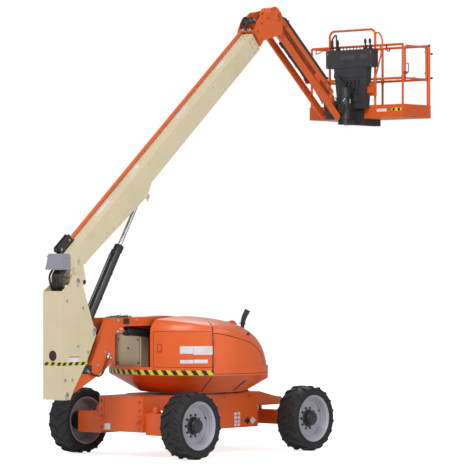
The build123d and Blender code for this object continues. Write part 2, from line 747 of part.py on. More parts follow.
# Main boom
def boom_plate(s0, s1, t):
    """A flat plate across the boom, with its outer face at t."""
    inner = t - BOOM_T if t > BOOM_LOW_T else t + BOOM_T
    return flat([boom(s0, inner), boom(s0, t), boom(s1, t), boom(s1, inner)], -BOOM_HALF, BOOM_HALF)


def boom_rear_top():
    return boom(BOOM_START_S - 8, BOOM_TOP_T)


def slide_pads(s0, inner_gap, outer_gap):
    """Four pads between the boom and the fly, each gap being kept on its own side."""
    s1 = s0 + PAD_L
    middle = (FLY_LOW_T + FLY_TOP_T) / 2

    def across(t0, t1, y0, y1):
        return flat([boom(s0, t0), boom(s0, t1), boom(s1, t1), boom(s1, t0)], y0, y1)

    y0, y1 = FLY_HALF + inner_gap, BOOM_HALF - BOOM_T - outer_gap
    low = (BOOM_LOW_T + BOOM_T + outer_gap, FLY_LOW_T - inner_gap)
    high = (FLY_TOP_T + inner_gap, BOOM_TOP_T - BOOM_T - outer_gap)
    pads = both(lambda a, b: across(middle - PAD_HALF, middle + PAD_HALF, a, b), y0, y1)
    return pads, across(*low, -PAD_HALF, PAD_HALF), across(*high, -PAD_HALF, PAD_HALF)


def main_boom():
    outline = [boom_rear_top(), beside(MAST_PIN, -BOOM_BACK, 150), beside(MAST_PIN, -80, -10), beside(MAST_PIN, 0, -80),
               beside(MAST_PIN, 190, -60), beside(MAST_PIN, 210, 0), boom(260, BOOM_LOW_T + 15),
               boom(BOOM_LUG_S - 60, BOOM_LUG_T + 5), boom(BOOM_LUG_S + 70, BOOM_LUG_T + 30),
               boom(BOOM_LUG_S + 200, BOOM_LOW_T), boom(BOOM_END_S, BOOM_LOW_T), boom(BOOM_END_S, BOOM_TOP_T)]
    shape = both(lambda y0, y1: flat(outline, y0, y1), BOOM_HALF - BOOM_T, BOOM_HALF)
    shape += boom_plate(BOOM_START_S, BOOM_END_S, BOOM_TOP_T)
    shape += boom_plate(2 * BOOM_START_S, BOOM_LUG_S - BOOM_PLATE_GAP, BOOM_LOW_T)
    shape += boom_plate(BOOM_LUG_S + BOOM_PLATE_GAP, BOOM_END_S, BOOM_LOW_T)
    shape += disc(MAST_PIN, 110, -BOOM_HALF, BOOM_HALF)
    for pads in slide_pads(BOOM_END_S - PAD_L - PAD_IN, PAD_GAP, 0):
        shape += pads
    return shape - disc(MAST_PIN, PIN_D + 2 * PIN_GAP, -BOOM_HALF, BOOM_HALF)


def hose_guard():
    """The boxed guard on the boom's rear end."""
    corner = beside(MAST_PIN, -BOOM_BACK, 150)
    top = beside(corner, -28, GUARD_H)
    half = BOOM_HALF + GUARD_WIDER
    return flat([beside(corner, -GUARD_L, 0), beside(corner, -GUARD_L + 60, GUARD_H), top, boom_rear_top(), corner],
                -half, half)


def fly_boom():
    def tube(inset, grow):
        s0, s1 = FLY_TAIL_S - grow, BOOM_END_S + FLY_OUT + grow
        low, high = FLY_LOW_T + inset, FLY_TOP_T - inset
        return flat([boom(s0, low), boom(s0, high), boom(s1, high), boom(s1, low)], -FLY_HALF + inset, FLY_HALF - inset)
    shape = tube(0, 0) - tube(FLY_T, 1)
    for pads in slide_pads(FLY_TAIL_S + PAD_IN, 0, PAD_GAP):
        shape += pads
    return shape


def nose_side(y0, y1):
    s0 = BOOM_END_S + 10
    outline = [boom(s0, 85), boom(s0 + NOSE_BACK_T, BOOM_TOP_T + NOSE_LIP), boom(s0 + 180, BOOM_TOP_T + 85),
               boom(s0 + 430, BOOM_TOP_T + 70), boom(JIB_PIN_S + 60, JIB_PIN_T + 70),
               boom(JIB_PIN_S + 60, JIB_PIN_T - 60), JIB_CYL_EYE, LINK_TOP, boom(s0 + 110, 110)]
    return flat(outline, y0, y1) + disc(JIB_PIN, 150, y0, y1) + disc(LINK_TOP, 90, y0, y1)


def boom_nose():
    s0 = BOOM_END_S + 10
    top = BOOM_TOP_T + NOSE_LIP
    shape = both(nose_side, NOSE_IN, NOSE_IN + NOSE_T)
    shape += flat([boom(s0, 85), boom(s0 + NOSE_BACK_T, top), boom(s0 + 2 * NOSE_BACK_T, top),
                   boom(s0 + NOSE_BACK_T, 85)], -NOSE_IN, NOSE_IN)
    shape += disc(JIB_PIN, PIN_D, -NOSE_IN, NOSE_IN)
    shape += both(lambda y0, y1: disc(LINK_TOP, SMALL_PIN_D, y0, y1), LINK_IN, NOSE_IN)
    s1 = BOOM_END_S + FLY_OUT
    socket = flat([boom(BOOM_END_S, FLY_LOW_T), boom(BOOM_END_S, FLY_TOP_T), boom(s1, FLY_TOP_T), boom(s1, FLY_LOW_T)],
                  -FLY_HALF, FLY_HALF)
    return shape - socket


def hose_rail():
    """The tube on top of the boom that the hose track runs on. It slides with the fly."""
    t = BOOM_TOP_T + NOSE_LIP + RAIL_D / 2
    (x0, z0), (x1, z1) = boom(RAIL_START_S, t), boom(BOOM_END_S + 10 + 2 * NOSE_BACK_T, t)
    return rod((x0, RAIL_Y, z0), (x1, RAIL_Y, z1), RAIL_D)


# Jib
def jib_block(u0, u1, v0, v1, half):
    """A box along the jib."""
    return flat([jib(u0, v0), jib(u0, v1), jib(u1, v1), jib(u1, v0)], -half, half)


def jib_arm():
    cheek_in = JIB_HALF - JIB_CHEEK
    base = jib(JIB_CYL_BASE_U, JIB_CYL_BASE_V)

    def end_cheek(y0, y1):
        return bar(jib(JIB_LEN - 200, 20), PLATFORM_PIN, JIB_END_D, y0, y1)

    def cylinder_lug(y0, y1):
        low = JIB_CYL_BASE_V - LUG_LIP
        return flat([jib(JIB_CYL_BASE_U - 160, JIB_LOW_V + 5), jib(JIB_CYL_BASE_U + 120, JIB_LOW_V + 5),
                     jib(JIB_CYL_BASE_U + 45, low), jib(JIB_CYL_BASE_U - 45, low)], y0, y1)

    shape = jib_block(0, JIB_LEN - 40, JIB_LOW_V, JIB_TOP_V, JIB_HALF) + disc(JIB_PIN, JIB_HEAD_D, -JIB_HALF, JIB_HALF)
    shape += both(end_cheek, cheek_in, JIB_HALF)
    shape -= jib_block(JIB_LEN - JIB_SLOT_L, JIB_LEN + 200, -200, 200, cheek_in)
    shape -= jib_block(-200, 300, -300, HEAD_SLOT_V, HEAD_SLOT_HALF)
    lug_in = JIB_BARREL_D / 2
    shape += both(cylinder_lug, lug_in, lug_in + LUG_T) + disc(base, SMALL_PIN_D, -lug_in, lug_in)
    for pin in (JIB_PIN, PLATFORM_PIN):
        shape -= disc(pin, PIN_D + 2 * PIN_GAP, -JIB_HALF, JIB_HALF)
    return shape


def jib_links():
    pair = both(lambda y0, y1: bar(LINK_TOP, LINK_LOW, LINK_H, y0, y1), LINK_IN, LINK_IN + LINK_T)
    pair -= disc(LINK_TOP, SMALL_PIN_D + 2 * PIN_GAP, -LINK_IN - LINK_T, LINK_IN + LINK_T)
    return pair + disc(LINK_LOW, SMALL_PIN_D, -LINK_IN, LINK_IN)


def jib_bracket():
    half = BRACKET_HALF
    web = flat([beside(PLATFORM_PIN, 0, 50), beside(LEVEL_PIN, 0, 60), beside(LEVEL_PIN, 0, -60), LINK_LOW,
                beside(LINK_LOW, -50, 0), beside(PLATFORM_PIN, -50, 0)], -half, half)
    shape = web + disc(PLATFORM_PIN, 100, -half, half) + disc(LEVEL_PIN, LEVEL_D, -half, half)
    shape += disc(LINK_LOW, 100, -half - 4, half + 4)
    shape += disc(PLATFORM_PIN, PIN_D, -JIB_HALF, JIB_HALF)
    shape -= disc(LINK_LOW, SMALL_PIN_D + 2 * PIN_GAP, -half - 4, half + 4)
    return shape - disc(LEVEL_PIN, PIN_D + 2 * PIN_GAP, -half, half)


def platform_rotator():
    ear_in = BRACKET_HALF + SIDE_GAP
    ear_out = ear_in + ROTATOR_EAR_T
    shape = post(ROTATOR_X, 0, 2 * ROTATOR_R, ROTATOR_LOW, ROTATOR_HIGH)
    shape += both(lambda y0, y1: bar(LEVEL_PIN, (ROTATOR_X, LEVEL_PIN[1]), LEVEL_D + 10, y0, y1), ear_in, ear_out)
    shape += disc(LEVEL_PIN, PIN_D, -ear_out, ear_out)
    return shape + post(ROTATOR_X, 0, ROTATOR_SHAFT_D, ROTATOR_LOW - ARM_T - 5, ROTATOR_HIGH + ARM_T + 5)


# Platform
def platform_support():
    """The fork that hangs the platform on its rotator, with the beam under the floor."""
    x0, x1 = ROTATOR_X, PLATFORM_X0
    low = ROTATOR_LOW - ARM_T - 5

    def arm(z):
        solid = block(x0, x1, -ARM_HALF, ARM_HALF, z, z + ARM_T) + post(x0, 0, 2 * ARM_HALF, z, z + ARM_T)
        return solid - post(x0, 0, ROTATOR_SHAFT_D + 2 * PIN_GAP, z, z + ARM_T)
    shape = arm(low) + arm(ROTATOR_HIGH + 5)
    shape += block(x1 - ARM_T, x1, -SUPPORT_HALF, SUPPORT_HALF, low, low + ARM_T + SUPPORT_H)
    return shape + block(x1 - ARM_T, PLATFORM_X1 - 150, -SUPPORT_BEAM_HALF, SUPPORT_BEAM_HALF, low, FLOOR_Z)


def platform_floor():
    shape = block(PLATFORM_X0, PLATFORM_X1, -PLATFORM_HALF, PLATFORM_HALF, FLOOR_Z, FLOOR_Z + TOE_H)
    inside = PLATFORM_HALF - TOE_T
    shape -= block(PLATFORM_X0 + TOE_T, PLATFORM_X1 - TOE_T, -inside, inside, FLOOR_Z + FLOOR_T, FLOOR_Z + TOE_H)
    edge = TUBE_D + DECK_CLEAR
    deck = block(PLATFORM_X0 + TOE_T + edge, PLATFORM_X1 - TOE_T - edge, edge - inside, inside - edge,
                 FLOOR_Z + FLOOR_T, FLOOR_Z + FLOOR_T + DECK_T)
    return shape + deck


def rail_places():
    """The four lines that the corner posts stand on."""
    inset = TOE_T + TUBE_D / 2
    return PLATFORM_X0 + inset, PLATFORM_X1 - inset, -PLATFORM_HALF + inset, PLATFORM_HALF - inset


def gate_line():
    """Where the gate's hinge tube stands."""
    _, x1, y0, _ = rail_places()
    return x1 - TUBE_D - GATE_GAP, y0


def gate_ring(z):
    """A ring on the corner post that holds the gate's hinge tube."""
    x, y = gate_line()
    ring = post(x, y, GATE_RING_D, z, z + GATE_RING_H)
    ring += block(x, x + TUBE_D + GATE_GAP, y - GATE_ARM_T / 2, y + GATE_ARM_T / 2, z, z + GATE_RING_H)
    return ring - post(x, y, GATE_TUBE_D + 2 * PIN_GAP, z, z + GATE_RING_H)


def platform_rails():
    r = TUBE_D / 2
    x0, x1, y0, y1 = rail_places()
    top = RAIL_Z - r
    shape = pipe([(x1, y0, top), (x1, y1, top), (x0, y1, top), (x0, y0, top)], TUBE_D, TUBE_BEND)
    shape += pipe([(x1, y0, MID_RAIL_Z), (x1, y1, MID_RAIL_Z), (x0, y1, MID_RAIL_Z), (x0, y0, MID_RAIL_Z)], TUBE_D,
                  TUBE_BEND)
    for x, y in ((x0, y0), (x0, y1), (x1, y0), (x1, y1), (x1, 0)):
        shape += post(x, y, POST_D, FLOOR_Z + FLOOR_T, top)
    for z in (MID_RAIL_Z + GATE_RING_IN, top - GATE_RING_IN - GATE_RING_H):
        shape += gate_ring(z)
    low, arch = FLOOR_Z + FLOOR_T, ARCH_Z - POST_D / 2
    return shape + pipe([(x0, ARCH_Y0, low), (x0, ARCH_Y0, arch), (x0, ARCH_Y1, arch), (x0, ARCH_Y1, low)], POST_D,
                        ARCH_BEND)


def platform_gate():
    a = rail_places()[0] + TUBE_D + GATE_GAP
    b, y = gate_line()
    high, low = RAIL_Z - GATE_DROP, MID_RAIL_Z
    foot = low - GATE_TUBE_D
    frame = pipe([(a, y, foot), (a, y, high), (b, y, high), (b, y, foot)], GATE_TUBE_D, GATE_BEND)
    return frame + rod((a, y, low), (b, y, low), GATE_BAR_D)


def control_console():
    x1 = rail_places()[0] - POST_D / 2
    low = FLOOR_Z + CONSOLE_LOW
    return block(x1 - CONSOLE_L, x1, CONSOLE_Y0, CONSOLE_Y1, low, low + CONSOLE_H)


def build():
    parts = {
        "chassis_frame": chassis_frame(),
        "rear_axle": rear_axle(),
        "front_axle": front_axle(),
        "steering_knuckle_right": steering_knuckle(-1),
        "steering_knuckle_left": steering_knuckle(1),
        "tie_rod": tie_rod(),
        "steering_cylinder": steering_cylinder(),
        "slew_bearing": slew_bearing(),
        "turntable_base": turntable_base(),
        "turntable_plates": turntable_plates(),
        "valve_cover": valve_cover(),
        "engine_block": engine_block(),
        "exhaust_stack": exhaust_stack(),
        "lower_boom": lower_boom(),
        "upright": upright(),
        "main_boom": main_boom(),
        "hose_guard": hose_guard(),
        "fly_boom": fly_boom(),
        "boom_nose": boom_nose(),
        "hose_rail": hose_rail(),
        "jib_arm": jib_arm(),
        "jib_links": jib_links(),
        "jib_bracket": jib_bracket(),
        "platform_rotator": platform_rotator(),
        "platform_support": platform_support(),
        "platform_floor": platform_floor(),
        "platform_rails": platform_rails(),
        "platform_gate": platform_gate(),
        "control_console": control_console(),
    }
    for group in (build_wheels, build_hood, build_cylinders):
        parts.update(group())
    return parts


os.makedirs("parts", exist_ok=True)
for name, shape in build().items():
    export_step(shape, f"parts/{name}.step")
    print(name, round(shape.volume / 1e6, 2))
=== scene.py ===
import math

import bmesh
import bpy
from mathutils import Matrix, Vector
from mathutils.bvhtree import BVHTree


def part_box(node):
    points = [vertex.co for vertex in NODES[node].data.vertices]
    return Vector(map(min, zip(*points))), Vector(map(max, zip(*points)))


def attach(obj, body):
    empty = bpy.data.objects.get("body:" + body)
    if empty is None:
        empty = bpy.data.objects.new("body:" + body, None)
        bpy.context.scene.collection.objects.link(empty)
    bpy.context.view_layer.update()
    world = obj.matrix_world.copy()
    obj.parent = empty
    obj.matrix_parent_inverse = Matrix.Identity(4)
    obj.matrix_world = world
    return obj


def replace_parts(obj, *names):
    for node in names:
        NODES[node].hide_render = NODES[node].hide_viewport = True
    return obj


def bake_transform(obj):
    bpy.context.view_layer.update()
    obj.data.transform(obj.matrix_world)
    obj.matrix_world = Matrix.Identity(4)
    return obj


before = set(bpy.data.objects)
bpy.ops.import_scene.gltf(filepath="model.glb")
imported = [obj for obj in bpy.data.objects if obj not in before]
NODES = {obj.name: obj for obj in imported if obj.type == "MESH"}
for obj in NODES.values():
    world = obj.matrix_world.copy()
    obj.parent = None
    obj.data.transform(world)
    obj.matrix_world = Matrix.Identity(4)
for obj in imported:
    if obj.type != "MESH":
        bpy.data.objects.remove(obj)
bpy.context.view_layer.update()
TAU = 2 * math.pi
PHOTO = 470

# The places that the looks share with the CAD frame, in metres
BOOM_PIN = (-2.56, 2.47)
BOOM_ANGLE = math.radians(40.4)
JIB_ANGLE = math.radians(-41)
JIB_LENGTH = 1.776
BOOM_HALF = 0.14
BOOM_TOP = 0.327
BOOM_LOW = 0.047
BOOM_END = 5.14
UPRIGHT_HALF = 0.18
WHEEL_X = 1.24
WHEEL_Y = 1.0675
WHEEL_Z = 0.47
RIM_Z = 1.253
ROTATOR_X = 3.4517
AHEAD, BACK = (1, 0, 0), (-1, 0, 0)
LEFT, RIGHT = (0, 1, 0), (0, -1, 0)
UP = (0, 0, 1)


def along(point, distance, angle, side=0.0):
    """The place that lies distance along an angle and side to its left, in the XZ plane."""
    c, s = math.cos(angle), math.sin(angle)
    return (point[0] + distance * c - side * s, point[1] + distance * s + side * c)


def boom(s, y, t):
    """The place s along the main boom, y across it and t above its pin's line."""
    x, z = along(BOOM_PIN, s, BOOM_ANGLE, t)
    return Vector((x, y, z))


JIB_PIN = along(BOOM_PIN, 5.768, BOOM_ANGLE, 0.187)


def jib(u, y, v):
    """The place u along the jib, y across it and v above its pin's line."""
    x, z = along(JIB_PIN, u, JIB_ANGLE, v)
    return Vector((x, y, z))


def tilted(origin, angle):
    """The way along an angle in the XZ plane, the way square above it, and their frame at an origin."""
    way = Vector((math.cos(angle), 0, math.sin(angle)))
    up = Vector((-math.sin(angle), 0, math.cos(angle)))
    return way, up, Matrix.Translation(origin) @ Matrix((way, Vector(LEFT), up)).transposed().to_4x4()


BOOM_WAY, BOOM_UP, BOOM_FRAME = tilted(boom(0, 0, 0), BOOM_ANGLE)
JIB_FRAME = tilted(jib(0, 0, 0), JIB_ANGLE)[2]


# Materials
def new_material(name):
    m = bpy.data.materials.new(name)
    m.use_nodes = True
    nodes = m.node_tree.nodes
    return m, nodes, m.node_tree.links, nodes["Principled BSDF"]


def noise(nodes, links, where, scale, detail=3.0, rough=0.55):
    n = nodes.new("ShaderNodeTexNoise")
    n.inputs["Scale"].default_value = scale
    n.inputs["Detail"].default_value = detail
    n.inputs["Roughness"].default_value = rough
    links.new(where, n.inputs["Vector"])
    return n.outputs["Fac"]


def ramp(nodes, links, value, stops):
    r = nodes.new("ShaderNodeValToRGB")
    while len(r.color_ramp.elements) < len(stops):
        r.color_ramp.elements.new(0.5)
    for e, (at, colour) in zip(r.color_ramp.elements, stops):
        e.position = at
        e.color = (*colour, 1)
    links.new(value, r.inputs["Fac"])
    return r.outputs["Color"]


def spread(nodes, links, value, low, high):
    n = nodes.new("ShaderNodeMapRange")
    n.inputs["To Min"].default_value = low
    n.inputs["To Max"].default_value = high
    links.new(value, n.inputs["Value"])
    return n.outputs["Result"]


def bump(nodes, links, bsdf, value, strength, distance):
    b = nodes.new("ShaderNodeBump")
    b.inputs["Strength"].default_value = strength
    b.inputs["Distance"].default_value = distance
    links.new(value, b.inputs["Height"])
    links.new(b.outputs["Normal"], bsdf.inputs["Normal"])


def place(nodes):
    return nodes.new("ShaderNodeTexCoord").outputs["Object"]


def shade(colour, k):
    return tuple(min(1.0, c * k) for c in colour)


def paint(name, colour, rough=0.38, coat=0.16, grime=0.12, peel=0.05):
    """Sprayed enamel: slow tone drift, a little dust low on the surface's noise and orange peel."""
    m, nodes, links, bsdf = new_material(name)
    at = place(nodes)
    tone = noise(nodes, links, at, 1.7, 4)
    stops = [(0.25, shade(colour, 1 - grime)), (0.5, colour), (0.8, shade(colour, 1 + grime * 0.5))]
    links.new(ramp(nodes, links, tone, stops), bsdf.inputs["Base Color"])
    fine = noise(nodes, links, at, 38, 5)
    links.new(spread(nodes, links, fine, rough - 0.06, rough + 0.09), bsdf.inputs["Roughness"])
    bsdf.inputs["Coat Weight"].default_value = coat
    bsdf.inputs["Coat Roughness"].default_value = 0.12
    bump(nodes, links, bsdf, noise(nodes, links, at, 260, 2), peel, 0.002)
    return m


def metal(name, colour, rough, stretch):
    """Bare metal with fine lines along the stretched axis."""
    m, nodes, links, bsdf = new_material(name)
    at = place(nodes)
    mapping = nodes.new("ShaderNodeMapping")
    mapping.inputs["Scale"].default_value = stretch
    links.new(at, mapping.inputs["Vector"])
    lines = noise(nodes, links, mapping.outputs["Vector"], 90, 4)
    links.new(ramp(nodes, links, lines, [(0.3, shade(colour, 0.86)), (0.7, colour)]), bsdf.inputs["Base Color"])
    links.new(spread(nodes, links, lines, rough * 0.7, rough * 1.4), bsdf.inputs["Roughness"])
    bsdf.inputs["Metallic"].default_value = 1.0
    bump(nodes, links, bsdf, lines, 0.06, 0.0008)
    return m


def rubber(name, colour, rough=0.62):
    """Dusty rubber with a fine grain."""
    m, nodes, links, bsdf = new_material(name)
    at = place(nodes)
    dust = noise(nodes, links, at, 5.5, 6, 0.65)
    stops = [(0.35, colour), (0.62, shade(colour, 1.3)), (0.85, shade(colour, 2.0))]
    links.new(ramp(nodes, links, dust, stops), bsdf.inputs["Base Color"])
    fine = noise(nodes, links, at, 120, 4)
    links.new(spread(nodes, links, fine, rough - 0.12, rough + 0.15), bsdf.inputs["Roughness"])
    bump(nodes, links, bsdf, fine, 0.18, 0.003)
    return m


def plastic(name, colour, rough=0.5):
    """Moulded plastic with a leathery grain."""
    m, nodes, links, bsdf = new_material(name)
    at = place(nodes)
    grain = noise(nodes, links, at, 300, 3)
    stops = [(0.3, colour), (0.75, shade(colour, 1.35))]
    links.new(ramp(nodes, links, noise(nodes, links, at, 6, 3), stops), bsdf.inputs["Base Color"])
    links.new(spread(nodes, links, grain, rough - 0.08, rough + 0.1), bsdf.inputs["Roughness"])
    bump(nodes, links, bsdf, grain, 0.12, 0.001)
    return m


def calculate(nodes, links, operation, *values):
    """A math node's result: each value is a number or another node's output."""
    node = nodes.new("ShaderNodeMath")
    node.operation = operation
    for socket, value in zip(node.inputs, values):
        if isinstance(value, (int, float)):
            socket.default_value = value
        else:
            links.new(value, socket)
    return node.outputs[0]


def stripes(name, direction, pitch, lean):
    """Yellow and black bars: direction is the way along the band, lean slants them with height."""
    m, nodes, links, bsdf = new_material(name)
    at = place(nodes)
    split = nodes.new("ShaderNodeSeparateXYZ")
    links.new(at, split.inputs["Vector"])
    if direction == "ring":
        value = calculate(nodes, links, "ARCTAN2", split.outputs["Y"], split.outputs["X"])
    else:
        value = split.outputs[direction]
    slanted = calculate(nodes, links, "MULTIPLY_ADD", split.outputs["Z"], lean, value)
    part = calculate(nodes, links, "FRACT", calculate(nodes, links, "DIVIDE", slanted, pitch))
    bars = ramp(nodes, links, part, [(0.0, (0.62, 0.56, 0.02)), (0.5, (0.012, 0.012, 0.012))])
    nodes[-1].color_ramp.interpolation = "CONSTANT"
    links.new(bars, bsdf.inputs["Base Color"])
    fine = noise(nodes, links, at, 150, 3)
    links.new(spread(nodes, links, fine, 0.28, 0.42), bsdf.inputs["Roughness"])
    return m


ORANGE_COLOUR = (0.70, 0.108, 0.013)
ORANGE = paint("orange_enamel", ORANGE_COLOUR)
# Orange darkened as painted shade, for latch surrounds, pin caps, bolts, the deck's tread bars and the gate handle
ORANGE_SHADED = paint("orange_enamel_painted_shade", shade(ORANGE_COLOUR, 0.55), grime=0.25)
# Orange darkened further, painted as the shade inside the jib's side slots
SLOT_SHADE = paint("orange_enamel_painted_slot_shade", shade(ORANGE_COLOUR, 0.28), grime=0.25)
CREAM = paint("cream_enamel", (0.66, 0.575, 0.385), grime=0.07)
# Cream darkened as painted shade, for the boom's pin caps, keeper plates and bolts
CREAM_SHADED = paint("cream_enamel_painted_shade", (0.50, 0.44, 0.30), grime=0.1)
BLACK = paint("black_enamel", (0.022, 0.022, 0.025), rough=0.42, coat=0.15, grime=0.3)
GREY = paint("grey_enamel", (0.27, 0.26, 0.31), rough=0.4, coat=0.2)
RIM_PAINT = paint("rim_enamel", (0.36, 0.36, 0.42), rough=0.36, coat=0.3)
TYRE = rubber("tyre_rubber", (0.012, 0.012, 0.0135))
HOSE = rubber("hose_rubber", (0.018, 0.018, 0.02), 0.5)
CHROME = metal("chrome_rod", (0.82, 0.82, 0.84), 0.09, (1, 1, 12))
STEEL = metal("bright_steel", (0.5, 0.5, 0.51), 0.3, (8, 1, 8))
ZINC = metal("zinc_bolt", (0.55, 0.54, 0.5), 0.34, (3, 3, 3))
PLASTIC = plastic("black_plastic", (0.03, 0.03, 0.034))
GREY_PLASTIC = plastic("grey_plastic", (0.05, 0.05, 0.055))
# Near black, painted as the shadow in seams, creases and holes
SEAM_SHADOW = plastic("seam_shadow", (0.035, 0.012, 0.008), 0.7)
LABEL = plastic("blank_label", (0.6, 0.6, 0.62), 0.3)
RED_LABEL = plastic("red_label_edge", (0.45, 0.03, 0.03), 0.35)
YELLOW_LABEL = plastic("yellow_label", (0.7, 0.52, 0.03), 0.35)
RING_STRIPES = stripes("ring_stripes", "ring", 0.118, 0.6)
SIDE_STRIPES = stripes("side_stripes", "X", 0.12, -0.7)
REAR_STRIPES = stripes("rear_stripes", "Y", 0.12, 0.7)


# Mesh making
BEVEL_ANGLE = math.radians(35)
SHARP_ANGLE = math.radians(38)


def add_object(name, data):
    """A new object in the scene."""
    made = bpy.data.objects.new(name, data)
    bpy.context.scene.collection.objects.link(made)
    return made


def finish_mesh(name, bm, material, body, slot, smooth=True, bevel=0.0, segments=2):
    """Turns a bmesh into a piece that rides on a body named by a string; for any other body it bakes the piece's place
    into its mesh.
    """
    bmesh.ops.recalc_face_normals(bm, faces=bm.faces)
    mesh = bpy.data.meshes.new(name)
    bm.to_mesh(mesh)
    bm.free()
    piece = add_object(name, mesh)
    for m in material if isinstance(material, list) else [material]:
        mesh.materials.append(m)
    if bevel:
        mod = piece.modifiers.new("soft_edges", "BEVEL")
        mod.width = bevel
        mod.segments = segments
        mod.limit_method = "ANGLE"
        mod.angle_limit = BEVEL_ANGLE
    if smooth:
        for p in mesh.polygons:
            p.use_smooth = True
        mesh.set_sharp_from_angle(angle=SHARP_ANGLE)
    if isinstance(body, str):
        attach(piece, body)
    else:
        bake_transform(piece)
    return piece


def piece_of(material, body, slot=None, **finish):
    """Makes the mesh that the decorated function fills, and finishes it as a piece of that function's name."""
    def make(fill):
        bm = bmesh.new()
        fill(bm)
        finish_mesh(fill.__name__, bm, material, body, slot, **finish)
        return fill
    return make


def add_box(bm, low, high, matrix=None, material=0):
    """A box between two corners, turned by the matrix."""
    verts = bmesh.ops.create_cube(bm, size=1)["verts"]
    low, high = Vector(low), Vector(high)
    size, middle = high - low, (high + low) / 2
    for v in verts:
        v.co = Vector((v.co.x * size.x, v.co.y * size.y, v.co.z * size.z)) + middle
        if matrix is not None:
            v.co = matrix @ v.co
    for f in {f for v in verts for f in v.link_faces}:
        f.material_index = material


def frame_at(point, way, up=UP):
    """A matrix whose Z axis runs along way."""
    z = Vector(way).normalized()
    x = Vector(up).cross(z)
    if x.length < 1e-4:
        x = Vector(AHEAD).cross(z)
        if x.length < 1e-4:
            x = Vector(LEFT).cross(z)
    x.normalize()
    y = z.cross(x)
    m = Matrix((x, y, z)).transposed().to_4x4()
    m.translation = Vector(point)
    return m


def ring(count, radius, height=0.0, turn=0.0):
    """Points at equal steps about the Z axis."""
    angles = [TAU * k / count + turn for k in range(count)]
    return [Vector((radius * math.cos(a), radius * math.sin(a), height)) for a in angles]


def add_shell(bm, rings, material=0, closed=False, flip=False):
    """Joins each ring of corners to the next, and either the last ring to the first or a face over each end."""
    pairs = list(zip(rings, rings[1:]))
    if closed:
        pairs.append((rings[-1], rings[0]))
    faces = [(a[i], a[(i + 1) % len(a)], b[(i + 1) % len(a)], b[i]) for a, b in pairs for i in range(len(a))]
    if not closed:
        faces += [rings[0][::-1], rings[-1]] if flip else [rings[0], rings[-1][::-1]]
    for corners in faces:
        bm.faces.new(corners).material_index = material


def add_prism(bm, low, high, material=0):
    """Two rings of corners with a face over each and faces round the sides."""
    sides = [(low[i - 1], low[i], high[i], high[i - 1]) for i in (*range(1, len(low)), 0)]
    for corners in (low[::-1], high, *sides):
        bm.faces.new(corners).material_index = material


def add_lathe(bm, profile, matrix, steps=32, closed=False, material=0):
    """Turns (radius, height) points about the matrix's Z axis."""
    rings = [[bm.verts.new(matrix @ p) for p in ring(steps, r, h)] for r, h in profile]
    add_shell(bm, rings, material, closed)


def add_bolt(bm, point, way, radius=0.016, height=0.014, material=0):
    """A hexagon head on a washer."""
    m = frame_at(point, way)
    add_lathe(bm, [(radius * 1.5, 0), (radius * 1.5, height * 0.25), (radius * 1.1, height * 0.25)], m, 16,
              material=material)
    add_lathe(bm, [(radius, height * 0.25), (radius, height * 0.9), (radius * 0.8, height)], m, 6, material=material)


def rounded(points, radius, steps=5):
    """A polyline with arcs at its corners."""
    points = [Vector(p) for p in points]
    out = [points[0]]
    for a, b, c in zip(points, points[1:], points[2:]):
        u, w = (a - b), (c - b)
        cut = min(radius, u.length * 0.49, w.length * 0.49)
        p, q = b + u.normalized() * cut, b + w.normalized() * cut
        for i in range(steps + 1):
            k = i / steps
            out.append(p.lerp(b, k).lerp(b.lerp(q, k), k))
    out.append(points[-1])
    return out


def add_tube(bm, points, radius, sides=14, material=0, closed=False):
    """A round tube along points, with flat ends."""
    points = [Vector(p) for p in points]
    count = len(points)
    rings = []
    up = None
    for i, p in enumerate(points):
        before = points[i - 1] if i or closed else p
        after = points[(i + 1) % count] if i < count - 1 or closed else p
        way = (after - before).normalized()
        if up is None:
            up = Vector(UP) if abs(way.z) < 0.9 else Vector(AHEAD)
        x = up.cross(way).normalized()
        y = way.cross(x)
        up = y
        r = radius(i / (count - 1)) if callable(radius) else radius
        rings.append([bm.verts.new(p + x * r * math.cos(TAU * k / sides) + y * r * math.sin(TAU * k / sides))
                      for k in range(sides)])
    add_shell(bm, rings, material, closed, flip=True)


def add_plate(bm, outline, y0, y1, material=0):
    """An XZ outline between two Y places."""
    add_shell(bm, [[bm.verts.new((x, y, z)) for x, z in outline] for y in (y0, y1)], material)


def add_patch(bm, centre, along_way, up_way, width, height, thick=0.0015, material=0, round_by=0.12):
    """A thin plate with cut corners, standing proud along the cross of its two ways."""
    u = Vector(along_way).normalized()
    v = Vector(up_way).normalized()
    n = u.cross(v)
    c = Vector(centre)
    k = min(width, height) * round_by
    w, h = width / 2, height / 2
    shape = [(-w + k, -h), (w - k, -h), (w, -h + k), (w, h - k), (w - k, h), (-w + k, h), (-w, h - k), (-w, -h + k)]
    low, high = ([bm.verts.new(c + u * a + v * b + n * t) for a, b in shape] for t in (0, thick))
    add_prism(bm, low, high, material)


# Wheels
TREAD_R = 0.4695
TREAD_HALF = 0.172
TREAD_FLOOR = 0.432
LUGS = 18
RIDGE_HEIGHT = 0.0035


